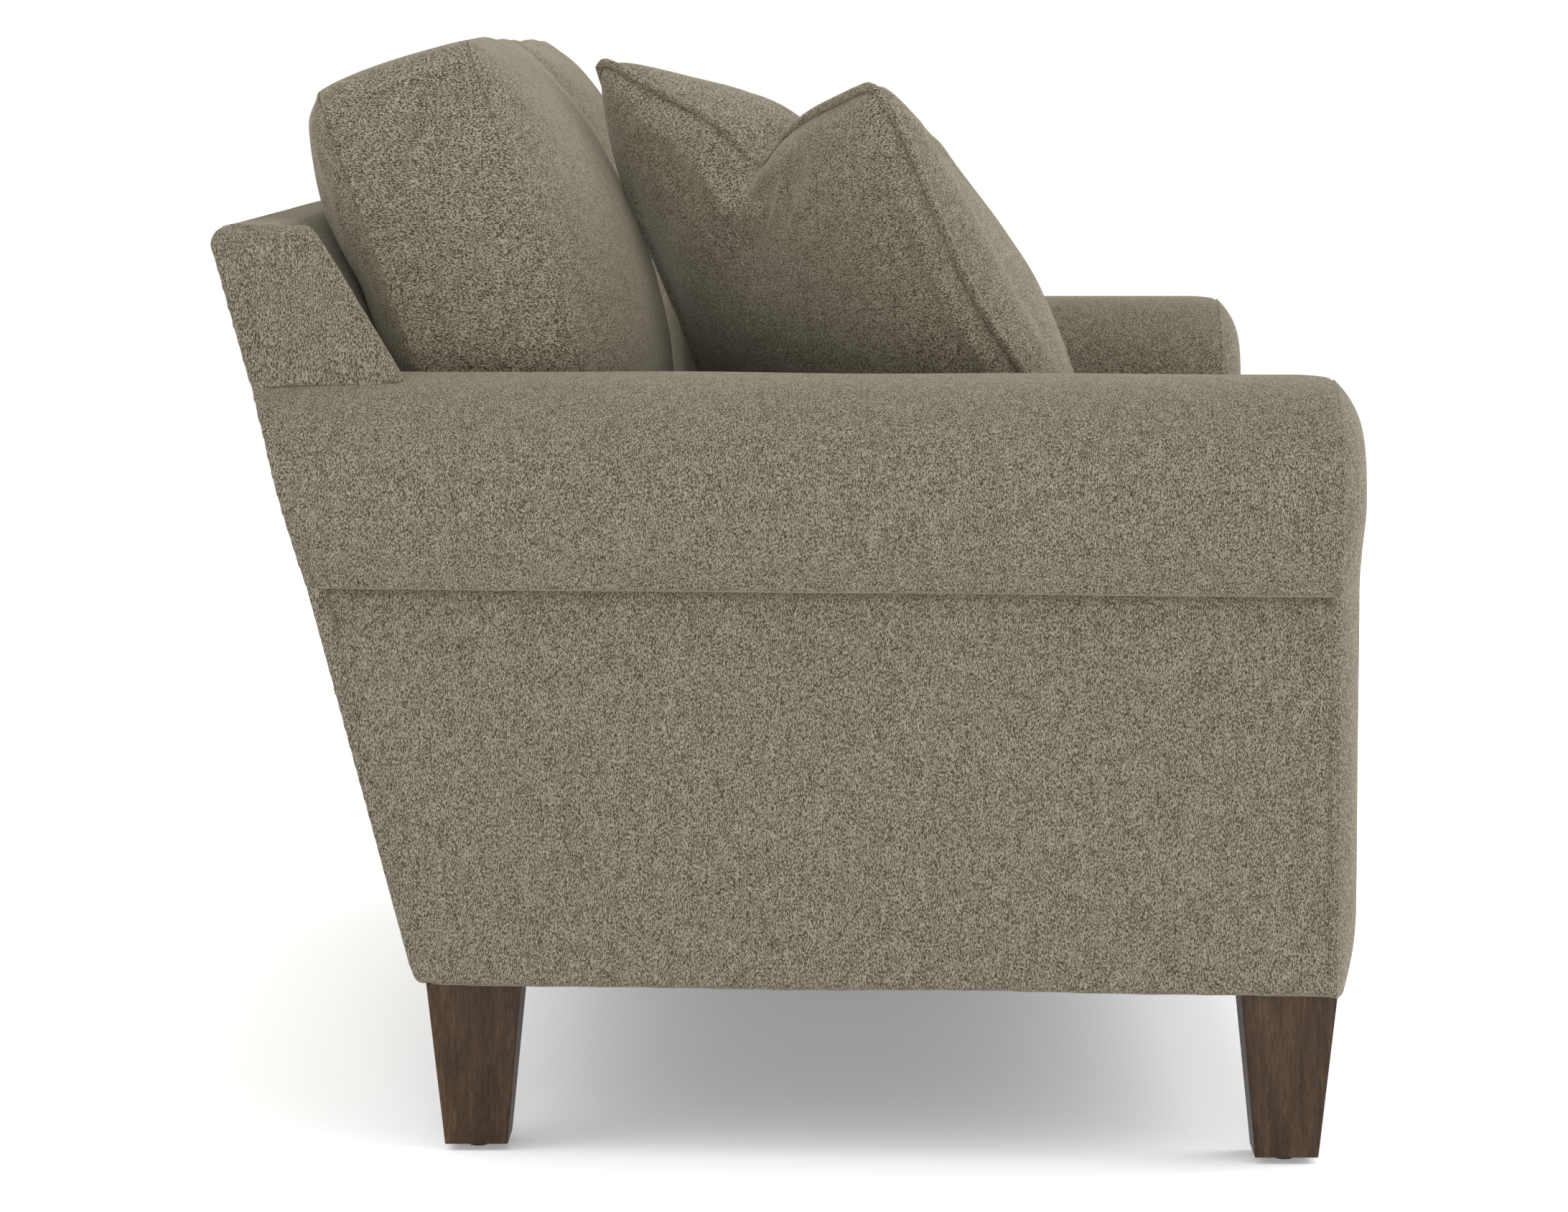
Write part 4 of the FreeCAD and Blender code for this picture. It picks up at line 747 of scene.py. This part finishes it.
def soft_piece(name, mesh, matrix, body, nodes, material, seed, limits):
    points, _ = mesh_arrays(mesh)
    points = points + normals_of(mesh) * wander(points, 0.22, 0.0016, seed)[:, None]
    set_points(mesh, held_in(placed(points, matrix), *limits))
    piece = new_piece(name, mesh, material, body, nodes)
    finer = piece.modifiers.new("finer", "SUBSURF")
    finer.levels = finer.render_levels = 1


def mirrored(mesh):
    """Copy of a mesh with left and right exchanged."""
    copy = mesh.copy()
    points, _ = mesh_arrays(copy)
    points[:, 0] *= -1
    set_points(copy, points)
    copy.flip_normals()
    return copy


def levels_with_seams(keys, seams, steps):
    """Even steps through the keys, with close rows at each seam."""
    places = [low + (high - low) * step / steps for low, high in zip(keys, keys[1:]) for step in range(steps)]
    places = [place for place in places + [keys[-1]] if all(abs(place - seam) > 0.12 for seam in seams)]
    return sorted(places + [seam + shift for seam in seams for shift in (-0.06, -0.02, 0, 0.02, 0.06)])


def pinch_seams(rings, places, seams, depth):
    """Draws each seam's ring in by depth, and lists the seams' points, which filling must not move."""
    held = []
    for number, place in enumerate(places, len(END_SHARES)):
        for seam in seams:
            if abs(place - seam) < 0.07:
                held += range(number * RING_POINTS, (number + 1) * RING_POINTS)
            if abs(place - seam) < 0.005:
                inward = rings[number].mean(axis=0) - rings[number]
                rings[number] = rings[number] + depth * inward / np.linalg.norm(inward, axis=1)[:, None]
    return held


def back_cushion_mesh():
    """Left back cushion in its own lean, in millimetres: x across, y up along the lean, z to the front."""
    height = 438.5
    stops = [(0, -90, 100, 4, 60), (1, -85, 34, 4, 52), (2, -77, 13, 3, 44), (3, -65, 5, 0, 36),
             (5, 0, 0, -1, 28), (7, 70, 3, 0, 30), (8, 84, 15, 3, 40), (9, 97, 33, 6, 50),
             (10, 110, 58, 8, 60), (11, 126, 109, 10, 60), (12, 137, 162, 10, 40)]

    def corners_at(level):
        foot = -level * math.tan(CUSHION_LEAN)
        return [(-471, foot), (-2, foot), (-2, height), (-471, height)]

    places = levels_with_seams(CUSHION_KEYS, (3, 7), 4)
    rings = cushion_rings(corners_at, stops, places, RING_POINTS, True, (3, 5))
    held = pinch_seams(rings, places, (3, 7), 3.0)
    for ring in rings:
        high, low = smooth_step((ring[:, 1] - 265) / 70), smooth_step((200 - ring[:, 1]) / 150)
        ring[:, 2] -= (9 * high * np.clip((-ring[:, 2] - 62) / 20, 0, 1)
                       + 10 * low * np.clip((ring[:, 2] - 72) / 50, 0, 1))
    return ring_mesh("back_cushion", [ring * MM for ring in rings]), held


def back_matrix():
    return Matrix.Translation((0, 203 * MM, 501.7 * MM)) @ Matrix.Rotation(math.radians(90 - 19), 4, "X")


def make_back_cushions():
    mesh, held = back_cushion_mesh()
    points, _ = mesh_arrays(mesh)
    low = points[:, 1] < -points[:, 2] * math.tan(CUSHION_LEAN) + 0.002
    held = sorted(set(held) | set(np.nonzero(low)[0].tolist()))
    inflate(mesh, held, 6 * MM)
    for side, sign in SIDES:
        own = mesh.copy() if sign < 0 else mirrored(mesh)
        soft_piece(f"back_cushion_{side}_soft", own, back_matrix(), f"back_body_{side}",
                   [f"back_cushion_{side}", f"back_cushion_fill_{side}"], LEANING_PAINTED_LIGHTER, 71 + sign,
                   (sign, (SEAT_TOP + 0.3) * MM, 1.0, 0.0011))


def make_seat_cushions():
    """Boxed seat cushions with crowned tops."""
    edge, crown, front, rear = 136, 13, -460, 260.7
    roll_x, roll_r, clearance, arm_front_y = 618, 88, 5, -453.5
    wide = roll_x - roll_r - clearance - TOE * (front - arm_front_y)
    narrow = roll_x - roll_r - clearance - TOE * (rear - arm_front_y)
    corners = [(-wide, front), (-3, front), (-3, rear), (-narrow, rear)]
    stops = [(0, 0, 14, -1, 14), (1, 3, 5, -1, 20), (2, 9, 1, -2, 24), (5, edge / 2, 0, -3, 28),
             (8, edge - 6, 1, -2, 24), (9, edge + crown * 0.2, 12, -2, 26),
             (10, edge + crown * 0.62, 60, 1, 50), (11, edge + crown * 0.9, 120, 3, 60),
             (12, edge + crown, 180, 3, 40)]
    places = levels_with_seams(CUSHION_KEYS, (2, 8), 4)
    rings = cushion_rings(lambda level: corners, stops, places, RING_POINTS, False, (0, 1))
    held = pinch_seams(rings, places, (2, 8), 2.0)
    mesh = ring_mesh("seat_cushion", [ring * MM for ring in rings])
    points, _ = mesh_arrays(mesh)
    held = sorted(set(held) | set(np.nonzero(points[:, 2] < 0.001)[0].tolist()))
    inflate(mesh, held, 4 * MM)
    lift = Matrix.Translation((0, 0, SEAT_FOOT * MM))
    for side, sign in SIDES:
        own = mesh.copy() if sign < 0 else mirrored(mesh)
        soft_piece(f"seat_cushion_{side}_soft", own, lift, f"seat_body_{side}",
                   [f"seat_cushion_{side}", f"seat_cushion_foam_{side}"], UPRIGHT_PAINTED_DARKER, 75 + sign,
                   (sign, SEAT_FOOT * MM, SEAT_TOP * MM, 0.0009))


# Throw pillows. The outline is the welt's line in the pillow's own plane, in millimetres: the foot, the inner
# side, the chopped upper edge and the outer side. The faces' fullness and the welt's cord follow.
PILLOW_FOOT = [(-256, -227), (-130, -219), (0, -216), (130, -219), (256, -227)]
PILLOW_INNER = [(256, -227), (223, -120), (209, -50), (207, 15), (206, 90), (200, 170), (193, 220)]
PILLOW_HEAD = [(193, 220), (181, 225.5), (158, 217), (128, 202), (104, 192), (84, 183), (62, 170), (48, 155),
               (38, 140), (27, 131), (14, 134), (-4, 147), (-26, 165), (-52, 181), (-80, 195), (-122, 212),
               (-148, 222), (-160, 225), (-170, 219)]
PILLOW_OUTER = [(-256, -227), (-228, -120), (-207, -58), (-192, -12), (-183, 35), (-180, 90), (-179, 170),
                (-170, 219)]
FRONT_FULL, REAR_FULL = 106, 66
WELT_R, WELT_PROUD = 0.0037, 0.0012
PILLOW_LEAN, MORE_LEAN, PILLOW_TURN, PILLOW_ROLL = 31.8, 2.5, 42.3, 3.9
PILLOW_PLACE = (0.296, -0.035)


def along(points, count):
    """Smooth line through points, shared evenly by length."""
    points = np.array(points, dtype=float)
    padded = np.vstack([2 * points[0] - points[1], points, 2 * points[-1] - points[-2]])
    fine = []
    for index in range(1, len(padded) - 2):
        a, b, c, d = padded[index - 1:index + 3]
        for share in np.linspace(0, 1, 16, endpoint=False):
            fine.append(0.5 * (2 * b + (c - a) * share + (2 * a - 5 * b + 4 * c - d) * share ** 2
                               + (3 * b - a - 3 * c + d) * share ** 3))
    fine.append(points[-1])
    fine = np.array(fine)
    walked = np.concatenate([[0], np.cumsum(np.linalg.norm(np.diff(fine, axis=0), axis=1))])
    places = np.linspace(0, walked[-1], count)
    return np.column_stack([np.interp(places, walked, fine[:, axis]) for axis in (0, 1)])


def pillow_mesh():
    """Knife-edged pillow: two faces on one outline, dented where its upper edge is chopped."""
    across, up = 97, 91
    foot, head = along(PILLOW_FOOT, across), along(PILLOW_HEAD[::-1], across)
    outer, inner = along(PILLOW_OUTER, up), along(PILLOW_INNER, up)
    s = np.linspace(0, 1, across)[None, :, None]
    t = np.linspace(0, 1, up)[:, None, None]
    flat = ((1 - t) * foot[None] + t * head[None] + (1 - s) * outer[:, None] + s * inner[:, None]
            - ((1 - s) * (1 - t) * foot[0] + s * (1 - t) * foot[-1] + (1 - s) * t * head[0] + s * t * head[-1]))
    u, v = 2 * s[..., 0] - 1, 2 * t[..., 0] - 1
    full = ((1 - np.abs(u) ** 3) * (1 - np.abs(v) ** 3)) ** 0.46
    x, y = flat[..., 0], flat[..., 1]
    dent = 0.20 * np.exp(-((x - 27) / 72) ** 2) * np.clip((y - 20) / 115, 0, 1) ** 1.5
    chop = np.array([[30, 128], [130, 58]], dtype=float)
    run = chop[1] - chop[0]
    share = ((x - chop[0, 0]) * run[0] + (y - chop[0, 1]) * run[1]) / (run @ run)
    aside = ((x - chop[0, 0]) * run[1] - (y - chop[0, 1]) * run[0]) / np.linalg.norm(run)
    length = np.clip(share * 4, 0, 1) * np.clip((1.35 - share) * 1.6, 0, 1)
    fold = length * (7.0 * np.exp(-(aside / 20) ** 2) - 5.0 * np.exp(-((aside - 44) / 30) ** 2))
    points = []
    for way, size in ((1, FRONT_FULL), (-1, REAR_FULL)):
        level = way * size * full
        if way < 0:
            level = level * (1 - dent) - fold * full
        else:
            level += full * (43 * np.exp(-((x + 135) / 66) ** 2 - ((y + 32) / 110) ** 2)
                             - 14 * np.exp(-((x + 145) / 60) ** 2 - ((y - 188) / 42) ** 2)
                             + 14 * np.exp(-((x - 90) / 65) ** 2 - ((y - 165) / 45) ** 2))
        points.append(np.stack([x, y, level], axis=-1).reshape(-1, 3))
    faces = []
    for layer in (0, 1):
        for row in range(up - 1):
            for column in range(across - 1):
                a = layer * across * up + row * across + column
                quad = (a, a + 1, a + across + 1, a + across)
                faces.append(quad if layer == 0 else quad[::-1])
    mesh = bpy.data.meshes.new("pillow")
    mesh.from_pydata([tuple(point) for point in np.vstack(points) * MM], [], faces)
    tidy(mesh)
    rim = np.vstack([foot[:-1], inner[:-1], head[::-1][:-1], outer[::-1][:-1]])
    return mesh, rim


def tube(name, line, radius, proud, sides=12):
    """Closed round cord along a closed flat line, standing a little outside it, in metres."""
    count = len(line)
    ahead = np.roll(line, -1, axis=0) - np.roll(line, 1, axis=0)
    ahead /= np.linalg.norm(ahead, axis=1)[:, None]
    outward = np.column_stack([ahead[:, 1], -ahead[:, 0]])
    line = line + outward * proud
    points, faces = [], []
    for place, out in zip(line, outward):
        for step in range(sides):
            turn = 2 * math.pi * step / sides
            points.append((place[0] + out[0] * radius * math.cos(turn),
                           place[1] + out[1] * radius * math.cos(turn), radius * math.sin(turn)))
    for row in range(count):
        for step in range(sides):
            a, b = row * sides + step, row * sides + (step + 1) % sides
            c, d = (row + 1) % count * sides + (step + 1) % sides, (row + 1) % count * sides + step
            faces.append((a, b, c, d))
    mesh = bpy.data.meshes.new(name)
    mesh.from_pydata(points, [], faces)
    tidy(mesh)
    return mesh


def pillow_matrix(sign):
    """Where a pillow stands: turned to the sofa's middle, leaning back and tipped a little on its foot."""
    lean = PILLOW_LEAN + (MORE_LEAN if sign > 0 else 0)
    turn = (Matrix.Rotation(math.radians(-sign * PILLOW_TURN), 4, "Z")
            @ Matrix.Rotation(math.radians(90 - lean), 4, "X")
            @ Matrix.Rotation(math.radians(-sign * PILLOW_ROLL), 4, "Z"))
    drop = 256 * math.sin(math.radians(PILLOW_ROLL)) + 227.5 * math.cos(math.radians(PILLOW_ROLL))
    height = SEAT_TOP + 0.3 - 1.2 + drop * math.cos(math.radians(lean))
    return Matrix.Translation((sign * PILLOW_PLACE[0], PILLOW_PLACE[1], height * MM)) @ turn


def make_pillows():
    mesh, rim = pillow_mesh()
    points, _ = mesh_arrays(mesh)
    held = np.nonzero(np.abs(points[:, 2]) < 0.0005)[0]
    inflate(mesh, held, 8 * MM)
    for side, sign in SIDES:
        own = mesh.copy() if sign < 0 else mirrored(mesh)
        cord = tube("welt", rim * MM, WELT_R, WELT_PROUD)
        cord = cord if sign < 0 else mirrored(cord)
        soft_piece(f"pillow_{side}_soft", own, pillow_matrix(sign), f"pillow_body_{side}",
                   [f"pillow_{side}", f"pillow_insert_{side}"], LEANING_PAINTED_LIGHTER, 81 + sign,
                   (sign, (SEAT_TOP + 0.5) * MM))
        points, _ = mesh_arrays(cord)
        set_points(cord, held_in(placed(points, pillow_matrix(sign)), sign, (SEAT_TOP + 0.3) * MM))
        new_piece(f"pillow_welt_{side}", cord, LEANING_PAINTED_LIGHTER, f"pillow_body_{side}", [])


make_seat_cushions()
make_back_cushions()
make_pillows()


# Floor, light and camera.

def seen_directly(tree):
    """1 for rays from the camera and through gloss or glass, 0 for the light that falls on the sofa."""
    path = add(tree, "ShaderNodeLightPath")
    return math_node(tree, "MAXIMUM", path.outputs["Is Camera Ray"],
                     math_node(tree, "MAXIMUM", path.outputs["Is Glossy Ray"],
                               path.outputs["Is Transmission Ray"]))


def stage_floor():
    """White floor: plain for the light on the sofa, and brighter where it is seen, to melt into the white."""
    bpy.ops.mesh.primitive_plane_add(size=60, location=(0, 0, 0))
    floor = bpy.context.object
    floor.name = "floor"
    material, tree, shader = new_material("floor_white")
    tree.nodes.remove(shader)
    output = tree.nodes["Material Output"]
    seen = seen_directly(tree)
    plain = add(tree, "ShaderNodeBsdfDiffuse")
    plain.inputs["Color"].default_value = (0.88, 0.88, 0.88, 1)
    shown = add(tree, "ShaderNodeBsdfDiffuse")
    shown.inputs["Color"].default_value = (1.65, 1.65, 1.65, 1)
    lift = add(tree, "ShaderNodeEmission")
    lift.inputs["Strength"].default_value = 0.175
    both = add(tree, "ShaderNodeAddShader")
    tree.links.new(shown.outputs[0], both.inputs[0])
    tree.links.new(lift.outputs[0], both.inputs[1])
    blend = add(tree, "ShaderNodeMixShader")
    tree.links.new(seen, blend.inputs[0])
    tree.links.new(plain.outputs[0], blend.inputs[1])
    tree.links.new(both.outputs[0], blend.inputs[2])
    tree.links.new(blend.outputs[0], output.inputs["Surface"])
    floor.data.materials.append(material)


def stage_world(level):
    """Even light of a level from all round, in front of a white background."""
    world = bpy.data.worlds.new("studio")
    bpy.context.scene.world = world
    world.use_nodes = True
    tree = world.node_tree
    light = tree.nodes["Background"]
    light.inputs["Color"].default_value = (1, 1, 1, 1)
    light.inputs["Strength"].default_value = level
    white = add(tree, "ShaderNodeBackground")
    white.inputs["Color"].default_value = (1, 1, 1, 1)
    white.inputs["Strength"].default_value = 1
    seen = seen_directly(tree)
    blend = add(tree, "ShaderNodeMixShader")
    tree.links.new(seen, blend.inputs[0])
    tree.links.new(light.outputs[0], blend.inputs[1])
    tree.links.new(white.outputs[0], blend.inputs[2])
    tree.links.new(blend.outputs[0], tree.nodes["World Output"].inputs["Surface"])


def area_light(name, place, target, size, power):
    data = bpy.data.lights.new(name, "AREA")
    data.shape = "DISK"
    data.size = size
    data.energy = power
    light = bpy.data.objects.new(name, data)
    bpy.context.scene.collection.objects.link(light)
    light.location = place
    light.rotation_euler = (Vector(target) - Vector(place)).to_track_quat("-Z", "Y").to_euler()


# The photograph's camera, fitted to points measured in it: place in metres, downward pitch in radians, focal
# length and width in pixels, the sensor's width, and the shift that the framing needs.
CAMERA_PLACE, CAMERA_PITCH = (-4.299, -0.0655, 0.920), 0.090
FOCUS, PHOTO_WIDTH, SENSOR = 6200, 2184, 36
SHIFT_X, SHIFT_Y = -0.05215, -0.09414


def stage_camera():
    data = bpy.data.cameras.new("camera")
    camera = bpy.data.objects.new("camera", data)
    bpy.context.scene.collection.objects.link(camera)
    right = Vector((0, -1, 0))
    up = Vector((math.sin(CAMERA_PITCH), 0, math.cos(CAMERA_PITCH)))
    back = Vector((-math.cos(CAMERA_PITCH), 0, math.sin(CAMERA_PITCH)))
    turn = Matrix((right, up, back)).transposed().to_4x4()
    camera.matrix_world = Matrix.Translation(CAMERA_PLACE) @ turn
    data.sensor_fit = "HORIZONTAL"
    data.sensor_width = SENSOR
    data.lens = FOCUS / PHOTO_WIDTH * SENSOR
    data.shift_x = SHIFT_X
    data.shift_y = SHIFT_Y
    bpy.context.scene.camera = camera


stage_floor()
stage_world(0.51)
area_light("key_above", (-0.6, -0.5, 3.6), (0, 0, 0.5), 3.0, 19)
area_light("front_above", (0.6, -3.6, 2.6), (0, 0, 0.6), 2.6, 48)
area_light("side_low", (-4.2, -0.1, 0.35), (-0.5, 0, 0.2), 1.6, 60)
area_light("far_side", (4.2, 0.5, 1.2), (0.5, 0, 0.4), 2.4, 30)
area_light("rear_above", (-1.6, 3.0, 3.0), (0, 0, 0.5), 2.4, 17)
stage_camera()
bpy.context.scene.view_settings.view_transform = "Standard"
